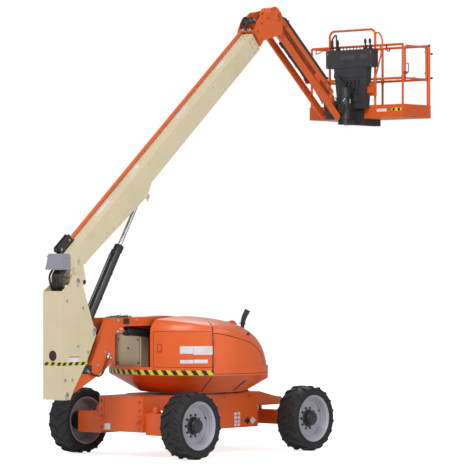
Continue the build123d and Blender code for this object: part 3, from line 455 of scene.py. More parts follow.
def make_tyre(name, x, y, body, node):
    """A carcass with three ridges on each wall and two rows of tread bars."""
    bm = bmesh.new()
    side = 1 if y > 0 else -1
    base = frame_at((x, y, WHEEL_Z), (0, side, 0))
    wall = [(0.334, 0.148), (0.350, 0.160), (0.385, 0.172), (0.415, 0.1735), (0.436, 0.165), (0.442, 0.140),
            (0.447, 0.07)]
    near = [(r, -w) for r, w in wall]
    bead = [(0.331, 0.12), (0.331, -0.12)]
    add_lathe(bm, near + [(0.449, 0)] + wall[::-1] + bead, base, 96, closed=True)
    for hand in (-1, 1):
        for r in (0.352, 0.372, 0.392):
            w = hand * (0.160 + (r - 0.35) * 0.34)
            crest = w + hand * RIDGE_HEIGHT
            add_lathe(bm, [(r - 0.004, w), (r - 0.002, crest), (r + 0.002, crest), (r + 0.004, w)], base, 64,
                      closed=True)
    for i in range(LUGS):
        for hand in (-1, 1):
            add_lug(bm, base, TAU * (i + 0.25 * hand) / LUGS, hand)
    piece = finish_mesh(name, bm, TYRE, body, "tyre_rubber", bevel=0.0035, segments=1)
    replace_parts(piece, node)


def add_lug(bm, base, turn, hand):
    """One tread bar: it starts near the middle, sweeps back and wraps over the shoulder."""
    steps = 6
    inset = 0.012
    rows = []
    for k in range(steps + 1):
        f = k / steps
        middle = turn + 0.20 * f - 0.05
        width = 0.085 + 0.05 * math.sin(math.pi * min(1, f * 1.2)) * (1 - 0.3 * f)
        top = TREAD_R - (0.003 if f < 0.8 else 0.024 * (f - 0.8) / 0.2)
        rows.append((hand * (inset + f * (TREAD_HALF - inset)), middle - width / 2, middle + width / 2, top,
                     TREAD_FLOOR))
    _, a, b, _, _ = rows[-1]
    rows.append((hand * (TREAD_HALF + 0.002), a + inset, b - inset, 0.418, 0.395))

    def point(radius, angle, across):
        return base @ Vector((radius * math.cos(angle), radius * math.sin(angle), across))

    rings = []
    for w, a, b, top, low in rows:
        corners = ((low, a), (top, a + inset), (top, b - inset), (low, b))
        rings.append([bm.verts.new(point(radius, angle, w)) for radius, angle in corners])
    add_shell(bm, rings)


def make_rim(name, x, y, body, node):
    """A two-step steel rim with a dished centre and a black hub."""
    side = 1 if y > 0 else -1
    base = frame_at((x, y, WHEEL_Z), (0, side, 0))
    bm = bmesh.new()
    barrel = [(0.330, 0.150), (0.338, 0.158), (0.334, 0.166), (0.322, 0.160), (0.314, 0.148), (0.302, 0.140),
              (0.298, 0.118), (0.290, 0.112), (0.283, 0.085), (0.270, 0.078), (0.262, 0.052), (0.215, 0.040),
              (0.150, 0.046), (0.126, 0.052), (0.110, 0.052), (0.110, 0.036), (0.150, 0.030), (0.215, 0.024),
              (0.262, 0.030), (0.290, 0.020), (0.300, -0.10), (0.318, -0.15), (0.334, -0.160), (0.338, -0.150),
              (0.330, -0.144), (0.326, -0.10), (0.324, 0.10)]
    add_lathe(bm, barrel, base, 72, closed=True)
    nut_circle = 0.118 * 1.28
    for p in ring(10, nut_circle, 0.0455):
        add_bolt(bm, base @ p, (0, side, 0), 0.013, 0.018, 1)
    add_lathe(bm, [(0.010, 0.0), (0.010, 0.03), (0.006, 0.034)], base @ Matrix.Translation((0.24, 0.1, 0.04)), 10,
              material=1)
    rim = finish_mesh(name, bm, [RIM_PAINT, BLACK], body, "rim_paint")
    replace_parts(rim, node)
    bm = bmesh.new()
    add_lathe(bm, [(0.128, 0.0), (0.128, 0.058), (0.112, 0.066), (0.098, 0.070), (0.098, 0.118), (0.088, 0.130),
                   (0.086, 0.152), (0.060, 0.162), (0.040, 0.163), (0.036, 0.158)], base, 40)
    add_lathe(bm, [(0.098, -0.15), (0.115, -0.148), (0.120, 0.0), (0.098, 0.004)], base, 40)
    for p in ring(8, 0.105, 0.070, TAU / 16):
        add_bolt(bm, base @ p, (0, side, 0), 0.009, 0.012)
    for p in ring(3, 0.07, 0.152, 0.4):
        add_bolt(bm, base @ p, (0, side, 0), 0.007, 0.009)
    finish_mesh(name + "_hub", bm, BLACK, body, "black_paint")


for end, sx in (("front", 1), ("rear", -1)):
    for hand, sy in (("right", -1), ("left", 1)):
        wheel = f"wheel_{end}_{hand}"
        make_tyre(f"tread_{end}_{hand}", sx * WHEEL_X, sy * WHEEL_Y, wheel, f"tyre_{end}_{hand}")
        make_rim(f"disc_{end}_{hand}", sx * WHEEL_X, sy * WHEEL_Y, wheel, f"rim_{end}_{hand}")


# Where pieces sit on the CAD's own surfaces
def tree_of(node):
    """The node's surface, for finding places on it."""
    o = NODES[node]
    mesh = o.data
    verts = [o.matrix_world @ v.co for v in mesh.vertices]
    return BVHTree.FromPolygons(verts, [tuple(p.vertices) for p in mesh.polygons])


def on_hood(tree, degrees, z):
    """The place and outward way on a hood's surface, at an angle about the swing axis and a height."""
    a = math.radians(degrees)
    way = Vector((math.cos(a), math.sin(a), 0))
    hit, normal, _, _ = tree.ray_cast(way * 2.0 + Vector((0, 0, z)), -way)
    if hit is None:
        return None, None
    return hit, -normal if normal.dot(way) < 0 else normal


def hood_line(tree, points, sign=1):
    """The (place, outward way) pairs of the (degrees, height) points: on the pan where they lie below the rim."""
    places = [on_hood(tree if z > RIM_Z else PAN_TREE, sign * a, z) for a, z in points]
    return [q for q in places if q[0] is not None]


def fill_in(line, step=1.0):
    """The same line of (degrees, height) points, with a point at least every step degrees."""
    dense = []
    for (a0, z0), (a1, z1) in zip(line, line[1:]):
        n = max(2, math.ceil(abs(a1 - a0) / step))
        dense += [(a0 + (a1 - a0) * i / n, z0 + (z1 - z0) * i / n) for i in range(n)]
    return dense + [line[-1]]


def add_ribbon(bm, places, width, thick, material=0):
    """A thin strip along (place, normal) pairs, standing proud of the surface."""
    rows = []
    for i, (p, n) in enumerate(places):
        before = places[max(i - 1, 0)][0]
        after = places[min(i + 1, len(places) - 1)][0]
        cross = n.cross((after - before).normalized()).normalized() * width / 2
        rows.append([bm.verts.new(p - cross - n * thick), bm.verts.new(p - cross + n * thick),
                     bm.verts.new(p + cross + n * thick), bm.verts.new(p + cross - n * thick)])
    add_shell(bm, rows, material, flip=True)


def add_pin_head(bm, x, z, y, side, radius, material=0):
    """A pin's end: a collar, a stepped cap, a grease nipple and the keeper plate with its bolt."""
    base = frame_at((x, y, z), (0, side, 0))
    add_lathe(bm, [(radius * 1.45, 0), (radius * 1.45, 0.004), (radius * 1.35, 0.007)], base, 28, material=material)
    add_lathe(bm, [(radius, 0.006), (radius, 0.013), (radius * 0.8, 0.016), (radius * 0.3, 0.017)], base, 24,
              material=material + 1)
    add_box(bm, (-radius * 0.3, -radius * 2.2, 0), (radius * 0.3, 0, 0.006), base, material + 1)
    tip = base @ Vector((0, -radius * 1.9, 0.005))
    add_bolt(bm, tip, (0, side, 0), radius * 0.28, 0.01, material + 1)


def add_hose(bm, points, radius=0.011, bend=0.06, material=0, ends=True):
    """A hose with a crimped ferrule and a hexagon nut at each end."""
    path = rounded(points, bend)
    add_tube(bm, path, radius, 10, material)
    if ends:
        for at, to in ((path[0], path[1]), (path[-1], path[-2])):
            base = frame_at(at, to - at)
            add_lathe(bm, [(radius * 1.35, 0.012), (radius * 1.35, 0.05), (radius * 1.15, 0.055)], base, 12,
                      material=material + 1)
            add_lathe(bm, [(radius * 1.8, -0.006), (radius * 1.8, 0.012)], base, 6, material=material + 1)


def add_band(bm, point, way, radius, thick, half, steps=16):
    """A square-edged band around a hose, a tube or a pipe."""
    outer = radius + thick
    add_lathe(bm, [(radius, -half), (outer, -half), (outer, half), (radius, half)], frame_at(point, way), steps,
              closed=True)


RIGHT_TREE = tree_of("right_hood")
LEFT_TREE = tree_of("left_hood")
DOOR_TREE = tree_of("right_hood_door")
PAN_TREE = tree_of("turntable_base")


# Turntable: hazard band, painted seam and crease shadows, labels, latches, vents, exhaust
@piece_of(RING_STRIPES, "turntable")
def hazard_band(bm):
    add_ribbon(bm, hood_line(PAN_TREE, [(124 + 112 * i / 90, 1.178) for i in range(91)]), 0.066, 0.0016)


# Dark ribbons painted as the shadow along the hood's crease, its waist joint and the door's shut line
CREST = [(-125, 1.733), (-118, 1.715), (-112, 1.688), (-103, 1.64), (-94.7, 1.584), (-88, 1.50), (-82.9, 1.409),
         (-80, 1.28)]
WAIST = [(-124, 1.16), (-57.5, 1.16)]
SHUT = [(-129.4, 0.90), (-128.5, 0.94), (-127.2, 0.99), (-125.9, 1.05), (-125.0, 1.11)]
SHUT += [(-124.6, 1.16 + 0.03 * i) for i in range(26)]
for hand, tree, sign in (("right", RIGHT_TREE, 1), ("left", LEFT_TREE, -1)):
    bm = bmesh.new()
    for line, width in ((fill_in(CREST), 0.009), (fill_in(WAIST), 0.007), (SHUT, 0.016)):
        add_ribbon(bm, hood_line(tree, line, sign), width, 0.0012)
    finish_mesh(f"{hand}_hood_seam_shadow", bm, SEAM_SHADOW, "turntable", None)


@piece_of([PLASTIC, ZINC], "turntable", "black_plastic")
def left_hood_vents(bm):
    for k in range(7):
        add_ribbon(bm, hood_line(LEFT_TREE, [(-70 + k * 3.2, 1.33 + 0.04 * i) for i in range(5)], -1), 0.022, 0.003)
    for angle in (122, 104, 86, 72):
        p, n = on_hood(LEFT_TREE, angle, 1.27)
        add_bolt(bm, p, n, 0.011, 0.012, 1)


@piece_of([LABEL, RED_LABEL], "right_hood_door")
def door_labels(bm):
    skin_r = 1.188
    labels = ((-142.4, 1.497, 0.185, 0.105, 0), (-131.2, 1.49, 0.27, 0.12, 0), (-142.2, 1.335, 0.185, 0.052, 0),
              (-132.7, 1.337, 0.19, 0.05, 0), (-142.2, 1.366, 0.185, 0.01, 1))
    for angle, z, width, height, material in labels:
        reach = math.degrees(width / 2 / skin_r)
        places = hood_line(DOOR_TREE, [(angle - reach + 2 * reach * i / 8, z) for i in range(9)])
        add_ribbon(bm, places, height, 0.0016 if material else 0.0012, material)


for hand, tree, angle in (("right", DOOR_TREE, 199), ("left", tree_of("left_hood_door"), 147)):
    bm = bmesh.new()
    p, n = on_hood(tree, angle, 1.52)
    across = Vector(UP).cross(n)
    # The latch's surround is orange darkened as painted shade of its recess
    add_patch(bm, p - n * 0.001, across, UP, 0.075, 0.12, 0.006)
    add_patch(bm, p + n * 0.004, across, UP, 0.04, 0.085, 0.012, 1)
    add_lathe(bm, [(0.008, 0.0), (0.008, 0.018), (0.005, 0.019)], frame_at(p + Vector((0, 0, -0.03)), n), 12,
              material=1)
    finish_mesh(f"{hand}_door_latch", bm, [ORANGE_SHADED, ORANGE], f"{hand}_hood_door", "orange_paint", bevel=0.002)


@piece_of(PLASTIC, "turntable", "black_plastic")
def pan_vents(bm):
    """A slanted slot in the pan on each side, and the knob on the right hood."""
    for sign in (1, -1):
        add_ribbon(bm, hood_line(PAN_TREE, [(-94 + k * 0.15, 1.055 - k * 0.014) for k in range(12)], sign), 0.045,
                   0.002)
    p, n = on_hood(RIGHT_TREE, -93, 1.70)
    add_lathe(bm, [(0.016, 0), (0.022, 0.01), (0.022, 0.022), (0.014, 0.034), (0.006, 0.038)], frame_at(p, n), 20)


# The exhaust stack, with its flared outlet and two clamps
bm = bmesh.new()
stack = [(0.37, -0.48, 1.45), (0.53, -0.48, 1.45), (0.53, -0.48, 1.80), (0.545, -0.495, 1.92), (0.585, -0.535, 2.03)]
add_tube(bm, rounded(stack, 0.12, 8), lambda k: 0.028 + 0.012 * max(0.0, (k - 0.5) * 2) ** 0.7, 24)
for z in (1.83, 1.845):
    add_band(bm, (0.533, -0.483, z), (0.1, -0.1, 1), 0.036, 0.011, 0.004, 24)
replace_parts(finish_mesh("exhaust_pipe", bm, BLACK, "turntable", "black_paint"), "exhaust_stack")


# Valve cover: a grey strip painted as the shade in its crease, lip and bolts, with the hoses of the open bay
COVER_X = -1.0


@piece_of([CREAM, GREY], "turntable", "cream_paint")
def valve_cover_trim(bm):
    add_box(bm, (COVER_X - 0.004, 0.08, 1.245), (COVER_X + 0.02, 0.73, 1.262))
    # A grey strip painted as the shade in the cover's crease
    add_box(bm, (COVER_X - 0.003, 0.112, 1.27), (COVER_X + 0.001, 0.118, 1.685), material=1)
    add_box(bm, (COVER_X - 0.006, 0.09, 1.675), (COVER_X + 0.15, 0.56, 1.694))
    for y, z in ((0.33, 1.5), (0.14, 1.62), (0.52, 1.62), (0.14, 1.3), (0.52, 1.3)):
        add_bolt(bm, (COVER_X - 0.002, y, z), BACK, 0.012, 0.012, 1)


@piece_of([HOSE, ZINC], "turntable", "tyre_rubber")
def bay_hoses(bm):
    for k in range(5):
        y = -0.02 - 0.03 * k
        add_hose(bm, [(-0.62, y, 1.25), (-0.78 - 0.02 * k, y, 1.27), (-0.9, y + 0.02, 1.45), (-0.84, y, 1.60),
                      (-0.60, y, 1.62)], 0.011)


# Upright: hazard bands, a painted hole, label, pins
UP_X0, UP_Y = -2.86, UPRIGHT_HALF
BAND_LOW, BAND_HIGH = 1.318, 1.362


@piece_of(SIDE_STRIPES, "upright", smooth=False)
def upright_hazard_sides(bm):
    for side in (-1, 1):
        add_box(bm, (UP_X0 + 0.004, side * (UP_Y + 0.0012), BAND_LOW), (-2.36, side * (UP_Y - 0.001), BAND_HIGH))


@piece_of(REAR_STRIPES, "upright", smooth=False)
def upright_hazard_rear(bm):
    add_box(bm, (UP_X0 - 0.0012, -UP_Y, BAND_LOW), (UP_X0 + 0.001, UP_Y, BAND_HIGH))


@piece_of([SEAM_SHADOW, CREAM], "upright", "black_paint")
def upright_painted_hole(bm):
    # A dark disc painted as the shade inside a hole, ringed by a cream rim
    hole = frame_at((UP_X0, -0.01, 1.45), BACK)
    add_lathe(bm, [(0.076, -0.004), (0.076, 0.0015), (0.07, 0.002)], hole, 36)
    add_lathe(bm, [(0.073, 0.0), (0.082, 0.0), (0.082, 0.006), (0.073, 0.006)], hole, 36, closed=True, material=1)


@piece_of([LABEL, RED_LABEL], "upright", smooth=False)
def upright_labels(bm):
    add_patch(bm, (-2.63, -UP_Y, 1.40), AHEAD, UP, 0.2, 0.075)
    add_patch(bm, (-2.63, -UP_Y - 0.001, 1.432), AHEAD, UP, 0.2, 0.012, material=1)
    add_patch(bm, (-2.63, UP_Y, 1.40), BACK, UP, 0.2, 0.075)


@piece_of([CREAM, ZINC], "upright", "cream_paint")
def upright_pins(bm):
    for side in (-1, 1):
        y = side * UP_Y
        for x, z, r in ((-2.56, 2.47, 0.034), (-2.775, 0.92, 0.034), (-2.24, 1.79, 0.034)):
            add_pin_head(bm, x, z, y, side, r)
        for x, z in ((-2.545, 1.58), (-2.353, 1.493), (-2.80, 1.12), (-2.66, 1.12), (-2.76, 2.2), (-2.45, 2.1)):
            add_bolt(bm, (x, y, z), (0, side, 0), 0.013, 0.012, 1)


# Main boom: pins, bolts, painted hole shades, the hose box and the track bracket
# Pin caps, keeper plates and bolts in cream darkened as painted shade
@piece_of([CREAM, CREAM_SHADED, SEAM_SHADOW], "main_boom", "cream_paint")
def boom_pins(bm):
    for side in (-1, 1):
        y = side * BOOM_HALF
        for x, z, r in ((-2.503, 2.753, 0.026), (-2.616, 2.644, 0.02)):
            add_pin_head(bm, x, z, y, side, r)
        p = boom(1.86, 0, -0.045)
        add_pin_head(bm, p.x, p.z, y, side, 0.03)
        for s in (BOOM_END - 0.05, BOOM_END - 0.13):
            for t in (0.10, 0.187, 0.27):
                add_bolt(bm, boom(s, y, t), (0, side, 0), 0.012, 0.014, 1)
        for s, t in ((3.96, 0.26), (0.9, 0.09), (2.2, 0.28)):
            add_bolt(bm, boom(s, y, t), (0, side, 0), 0.009, 0.008, 1)
        # A dark disc painted as the shade inside a hole
        add_lathe(bm, [(0.03, -0.002), (0.03, 0.0012), (0.02, 0.0015)], frame_at((-2.38, y, 2.45), (0, side, 0)), 24,
                  material=2)
    for s in (BOOM_END - 0.05, BOOM_END - 0.13):
        for y in (-0.08, 0.0, 0.08):
            add_bolt(bm, boom(s, y, BOOM_TOP), BOOM_UP, 0.012, 0.014, 1)


@piece_of([CREAM, LABEL], "main_boom", "cream_paint")
def boom_welds(bm):
    """Labels on the boom's top, and weld beads along its edges."""
    for s, width in ((1.15, 0.34), (2.0, 0.2), (3.3, 0.28), (4.4, 0.2)):
        add_patch(bm, boom(s, -0.02, BOOM_TOP), BOOM_WAY, LEFT, width, 0.06, 0.001, 1)
    for side in (-1, 1):
        for s0, s1, y, t, radius in ((0.35, BOOM_END - 0.2, BOOM_HALF - 0.004, BOOM_TOP, 0.005),
                                     (0.5, 1.5, BOOM_HALF, BOOM_LOW + 0.02, 0.004)):
            add_tube(bm, [boom(s0, side * y, t), boom(s1, side * y, t)], radius, 8)


@piece_of([BLACK, ZINC], "main_boom", "black_paint", bevel=0.003)
def track_bracket(bm):
    add_box(bm, (0.15, 0.02, BOOM_TOP), (0.45, 0.032, BOOM_TOP + 0.13), BOOM_FRAME)
    add_box(bm, (0.15, 0.088, BOOM_TOP), (0.45, 0.10, BOOM_TOP + 0.13), BOOM_FRAME)
    add_box(bm, (0.12, 0.02, BOOM_TOP), (0.48, 0.10, BOOM_TOP + 0.014), BOOM_FRAME)
    for k in range(9):
        add_box(bm, (0.12 + 0.038 * k, 0.032, BOOM_TOP + 0.075), (0.148 + 0.038 * k, 0.088, BOOM_TOP + 0.115),
                BOOM_FRAME)
    for s in (0.2, 0.4):
        add_bolt(bm, boom(s, 0.02, BOOM_TOP + 0.06), RIGHT, 0.012, 0.012, 1)


@piece_of([GREY, ZINC], "main_boom", "grey_paint", bevel=0.002)
def hose_box_trim(bm):
    for side in (-1, 1):
        add_box(bm, (-2.80, side * 0.150, 2.66), (-2.70, side * 0.1515, 2.80))
        for x, z in ((-2.81, 2.64), (-2.69, 2.64), (-2.8, 2.8), (-2.71, 2.8)):
            add_bolt(bm, (x, side * 0.150, z), (0, side, 0), 0.009, 0.01, 1)


@piece_of([HOSE, ZINC], ("upright", "main_boom", (-2.79, 0, 2.42), (-2.74, 0, 2.60)), "tyre_rubber")
def boom_hoses(bm):
    for k in range(6):
        y = -0.115 + 0.045 * k
        add_hose(bm, [(-2.72 - 0.012 * (k % 3), y, 2.62), (-2.80 - 0.015 * (k % 2), y, 2.54), (-2.79, y * 0.95, 2.40),
                      (-2.72, y * 0.9, 2.30)], 0.015, 0.07, ends=False)


# Lower boom: pins, near hose run, fittings, brackets
LEG_Y = 0.155


@piece_of([BLACK, ZINC], "lower_boom", "black_paint", bevel=0.002)
def lower_boom_brackets(bm):
    """Bolts and hose brackets on both legs."""
    for side in (-1, 1):
        y = side * LEG_Y
        for x, z in ((-1.72, 1.91), (-1.35, 1.91), (-2.13, 1.30), (-1.98, 1.48)):
            add_bolt(bm, (x, y, z), (0, side, 0), 0.013, 0.013, 1)
        add_box(bm, (-2.43, y - 0.004, 1.19), (-2.25, y + 0.004, 1.31))
        add_box(bm, (-1.62, y - 0.004, 1.86), (-1.50, y + 0.004, 1.94))


@piece_of([HOSE, ZINC], "lower_boom", "tyre_rubber")
def lower_boom_hoses(bm):
    for k in range(4):
        y = -0.10 + 0.066 * k
        add_hose(bm, [(-1.42, y, 1.955 + 0.01 * (k % 2)), (-1.66, y, 1.955), (-1.86, y, 1.90), (-2.02, y, 1.66),
                      (-2.13, y, 1.42), (-2.24, y, 1.24), (-2.42, y, 1.12)], 0.014, 0.12)
    add_hose(bm, [(-2.36, -LEG_Y - 0.014, 1.24), (-2.22, -LEG_Y - 0.03, 1.16), (-2.08, -LEG_Y - 0.03, 1.16),
                  (-2.0, -LEG_Y - 0.02, 1.30), (-1.93, -LEG_Y - 0.014, 1.44)], 0.013, 0.07)


@piece_of(ZINC, "lower_boom", "steel")
def lower_boom_fittings(bm):
    add_band(bm, (-2.15, -LEG_Y - 0.03, 1.16), AHEAD, 0.013, 0.005, 0.012)
    for x, z in ((-1.93, 1.45), (-1.90, 1.40)):
        add_lathe(bm, [(0.02, -0.02), (0.026, -0.01), (0.026, 0.02), (0.014, 0.04)],
                  frame_at((x, -LEG_Y, z), RIGHT), 16)


@piece_of([ORANGE, ZINC], "turntable", "orange_paint")
def tower_pins(bm):
    for side in (-1, 1):
        add_pin_head(bm, 0.62, 1.76, side * 0.21, side, 0.034)
        add_pin_head(bm, 0.05, 1.62, side * 0.21, side, 0.034)


# Cylinders: gland, port blocks and a steel line along each barrel
def dress_cylinder(name, base, eye, radius, length, rod_radius):
    """A barrel's gland, its port blocks and the pair of steel lines between them."""
    way = Vector((eye[0] - base[0], 0, eye[1] - base[1])).normalized()
    side = Vector(LEFT)
    up = way.cross(side).normalized()
    if up.z < 0:
        up = -up
    start = Vector((base[0], 0, base[1]))

    def at(s, y, t):
        return start + way * s + side * y + up * t

    bm = bmesh.new()
    end = frame_at(at(length, 0, 0), way)
    add_lathe(bm, [(radius + 0.001, -0.09), (radius + 0.008, -0.085), (radius + 0.008, -0.004),
                   (radius + 0.003, 0.006), (rod_radius + 0.012, 0.012), (rod_radius + 0.004, 0.012),
                   (rod_radius + 0.004, -0.08)], end, 40, closed=True)
    add_lathe(bm, [(radius - 0.002, -0.004), (radius + 0.005, 0.0), (radius + 0.005, 0.014), (radius - 0.002, 0.018)],
              frame_at(at(radius * 2 + 0.04, 0, 0), way), 40, closed=True)
    turn = Matrix((way, side, up)).transposed().to_4x4()
    for s in (radius * 2 + 0.1, length - 0.13):
        m = Matrix.Translation(at(s, 0, radius - 0.006)) @ turn
        add_box(bm, (-0.032, -0.024, 0), (0.032, 0.024, 0.034), m)
    finish_mesh(f"{name}_gland", bm, BLACK, name, "black_paint", bevel=0.002)
    bm = bmesh.new()
    a, b = radius * 2 + 0.1, length - 0.13
    for y in (-0.014, 0.014):
        add_tube(bm, rounded([at(a, y, radius + 0.015), at(a + 0.05, y, radius + 0.034),
                              at(b - 0.05, y, radius + 0.034), at(b, y, radius + 0.015)], 0.04), 0.0085, 10)
    for s in (a + (b - a) * 0.3, a + (b - a) * 0.7):
        add_band(bm, at(s, 0, 0), way, radius, 0.005, 0.012)
    finish_mesh(f"{name}_line", bm, BLACK, name, "black_paint")


BOOM_EYE = along(BOOM_PIN, 1.86, BOOM_ANGLE, -0.045)
JIB_BASE = along(JIB_PIN, JIB_LENGTH - 0.501, JIB_ANGLE, -0.093)
JIB_EYE = (JIB_PIN[0] + 0.1, JIB_PIN[1] - 0.23)
dress_cylinder("lower_lift_barrel", (0.05, 1.62), (-1.55, 1.775), 0.06, 1.4775, 0.03)
dress_cylinder("upper_lift_barrel", (-2.24, 1.79), BOOM_EYE, 0.06, 1.35, 0.03)
reach = math.hypot(JIB_EYE[0] - JIB_BASE[0], JIB_EYE[1] - JIB_BASE[1]) - 0.219
dress_cylinder("jib_lift_barrel", JIB_BASE, JIB_EYE, 0.042, reach, 0.021)


# Nose: pins, hose loops, guard
NOSE_Y = 0.165


# Pin caps, keeper plates and bolts in orange darkened as painted shade
@piece_of([ORANGE, ORANGE_SHADED], "fly_boom", "orange_paint")
def nose_pins(bm):
    for side in (-1, 1):
        y = side * NOSE_Y
        add_pin_head(bm, JIB_PIN[0], JIB_PIN[1], y, side, 0.036)
        add_pin_head(bm, JIB_PIN[0] + 0.08, JIB_PIN[1] - 0.27, y, side, 0.026)
        add_pin_head(bm, JIB_EYE[0], JIB_EYE[1], side * 0.149, side, 0.02)
        for s, t in ((BOOM_END + 0.08, 0.16), (BOOM_END + 0.1, 0.30), (BOOM_END + 0.25, 0.33), (BOOM_END + 0.42, 0.3)):
            add_bolt(bm, boom(s, y, t), (0, side, 0), 0.011, 0.012, 1)


@piece_of([HOSE, ZINC], "fly_boom", "tyre_rubber")
def nose_hoses(bm):
    for k in range(2):
        y = -0.10 + 0.03 * k
        add_hose(bm, [boom(BOOM_END + 0.045, y, 0.352), boom(BOOM_END + 0.01 + 0.02 * k, y, 0.49),
                      boom(BOOM_END + 0.17 + 0.02 * k, y, 0.51), boom(BOOM_END + 0.22, y, 0.40)], 0.013, 0.10)
    add_hose(bm, [boom(BOOM_END + 0.045, 0.04, 0.352), boom(BOOM_END + 0.04, 0.04, 0.46),
                  boom(BOOM_END + 0.20, 0.04, 0.50), boom(BOOM_END + 0.25, 0.04, 0.40)], 0.019, 0.10)


@piece_of(PLASTIC, "fly_boom", "black_plastic")
def nose_wheels(bm):
    """The hose rollers in the nose, the bar that holds its hoses and a thin black strip painted as the shade in the
    slot at its root.
    """
    # Painted shade: a thin black strip standing for the slot
    add_patch(bm, boom(BOOM_END + 0.02, -NOSE_Y, 0.22), BOOM_WAY, BOOM_UP, 0.01, 0.2, 0.002)
    add_box(bm, (BOOM_END + 0.18, -NOSE_Y + 0.001, 0.385), (BOOM_END + 0.28, NOSE_Y - 0.001, 0.40), BOOM_FRAME)
    for y in (-0.05, 0.05):
        add_lathe(bm, [(0.05, -0.02), (0.056, -0.015), (0.056, 0.015), (0.05, 0.02)],
                  frame_at((1.47, y, 6.08), LEFT), 28)


# Jib: hose track on its top, painted shade in its side slots, links' pins
@piece_of([PLASTIC, BLACK], "jib", "black_plastic", bevel=0.003, segments=1)
def jib_track(bm):
    for k in range(33):
        u = 0.22 + 0.04 * k
        add_box(bm, (u, -0.062, 0.112), (u + 0.0385, 0.062, 0.188), JIB_FRAME)
    add_box(bm, (0.26, -0.068, 0.104), (1.56, 0.068, 0.112), JIB_FRAME, 1)
    for u in (0.3, 1.52):
        add_box(bm, (u - 0.012, -0.074, 0.104), (u + 0.012, 0.074, 0.195), JIB_FRAME, 1)


@piece_of(SLOT_SHADE, "jib", "orange_paint", smooth=False)
def jib_slot_shades(bm):
    # Thin dark strips on each side of the jib, painted as the shade in its slots
    for side in (-1, 1):
        y0, y1 = sorted((side * 0.0955, side * 0.0972))
        add_box(bm, (0.17, y0, -0.038), (1.24, y1, 0.026), JIB_FRAME)
        add_box(bm, (1.39, y0, -0.034), (1.69, y1, 0.026), JIB_FRAME)


# Pin caps, keeper plates and bolts in orange darkened as painted shade
@piece_of([ORANGE, ORANGE_SHADED], "jib", "orange_paint")
def jib_pins(bm):
    for side in (-1, 1):
        y = side * 0.096
        p = jib(JIB_LENGTH, 0, 0)
        add_pin_head(bm, p.x, p.z, y, side, 0.034)
        q = jib(JIB_LENGTH - 0.501, 0, -0.093)
        add_pin_head(bm, q.x, q.z, side * 0.056, side, 0.022)
        for u, v in ((JIB_LENGTH - 0.14, 0.055), (JIB_LENGTH - 0.28, 0.055), (0.98, -0.02), (0.28, 0.06)):
            add_bolt(bm, jib(u, y, v), (0, side, 0), 0.014, 0.013, 1)


@piece_of([HOSE, ZINC], "jib", "tyre_rubber")
def jib_hoses(bm):
    for k in range(4):
        y = -0.045 + 0.03 * k
        add_hose(bm, [jib(1.50, y, 0.15), jib(1.62, y, 0.16), jib(1.72, y * 1.2, 0.12), jib(1.70, y * 1.2, 0.09)],
                 0.011, 0.05)
        add_hose(bm, [jib(0.30, y, 0.145), jib(0.20, y, 0.16), jib(0.15, y, 0.135), jib(0.145, y, 0.10)], 0.012, 0.04)


# Platform: console, pedestal, rails' fittings, deck and labels
FLOOR_LOW, FLOOR_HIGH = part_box("platform_floor")
P_X0, P_X1 = FLOOR_LOW[0], FLOOR_HIGH[0]
P_HALF = FLOOR_HIGH[1]
DECK = FLOOR_LOW[2] + 0.034
DESK_LOW, DESK_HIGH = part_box("control_console")
DESK_X0, DESK_X1, DESK_TOP = DESK_LOW[0], DESK_HIGH[0], DESK_HIGH[2]
PEDESTAL_X = DESK_X1 - 0.135
RAIL_TOP = FLOOR_LOW[2] + 1.125 - 0.019
MID_RAIL = FLOOR_LOW[2] + 0.595
POST_X = P_X0 + 0.024
GRIP_X = POST_X - 0.035
FRONT_X = P_X1 - 0.024
POST_Y = P_HALF - 0.024


def add_tapered(bm, low, high, material=0):
    """A box between two rectangles: each is (x0, x1, y0, y1, z)."""
    low, high = ([bm.verts.new(p) for p in ((x0, y0, z), (x1, y0, z), (x1, y1, z), (x0, y1, z))]
                 for x0, x1, y0, y1, z in (low, high))
    add_prism(bm, low, high, material)


@piece_of(PLASTIC, "platform", "black_plastic", bevel=0.006)
def console_cover(bm):
    """The hood over the console, its face and the ribbed pedestal."""
    add_tapered(bm, (DESK_X0 - 0.002, DESK_X1 + 0.004, DESK_LOW[1] - 0.01, DESK_HIGH[1] + 0.01, DESK_TOP - 0.012),
                (DESK_X0 + 0.01, DESK_X1 + 0.004, DESK_LOW[1] + 0.005, DESK_HIGH[1] - 0.005, DESK_TOP + 0.022))
    add_box(bm, (DESK_X0 - 0.0015, DESK_LOW[1] + 0.02, DESK_LOW[2] + 0.02),
            (DESK_X0 + 0.002, DESK_HIGH[1] - 0.02, DESK_TOP - 0.04))
    add_tapered(bm, (PEDESTAL_X, DESK_X1 - 0.01, -0.27, 0.25, 5.05),
                (DESK_X1 - 0.14, DESK_X1 - 0.01, -0.315, 0.325, DESK_LOW[2] + 0.002))
    add_box(bm, (DESK_X1 - 0.148, -0.309, 5.53), (DESK_X1 - 0.02, 0.318, 5.60))
    for z in (5.15, 5.27, 5.39):
        add_box(bm, (DESK_X1 - 0.145, -0.22, z), (DESK_X1 - 0.132, 0.2, z + 0.02))


SWITCH = [(0.013, 0), (0.013, 0.006), (0.006, 0.008), (0.006, 0.03), (0.009, 0.034), (0.009, 0.05), (0.004, 0.054)]
JOYSTICK = [(0.045, 0), (0.045, 0.006), (0.036, 0.012), (0.038, 0.02), (0.026, 0.028), (0.028, 0.036), (0.014, 0.046),
            (0.012, 0.09), (0.019, 0.10), (0.021, 0.14), (0.014, 0.165), (0.005, 0.17)]


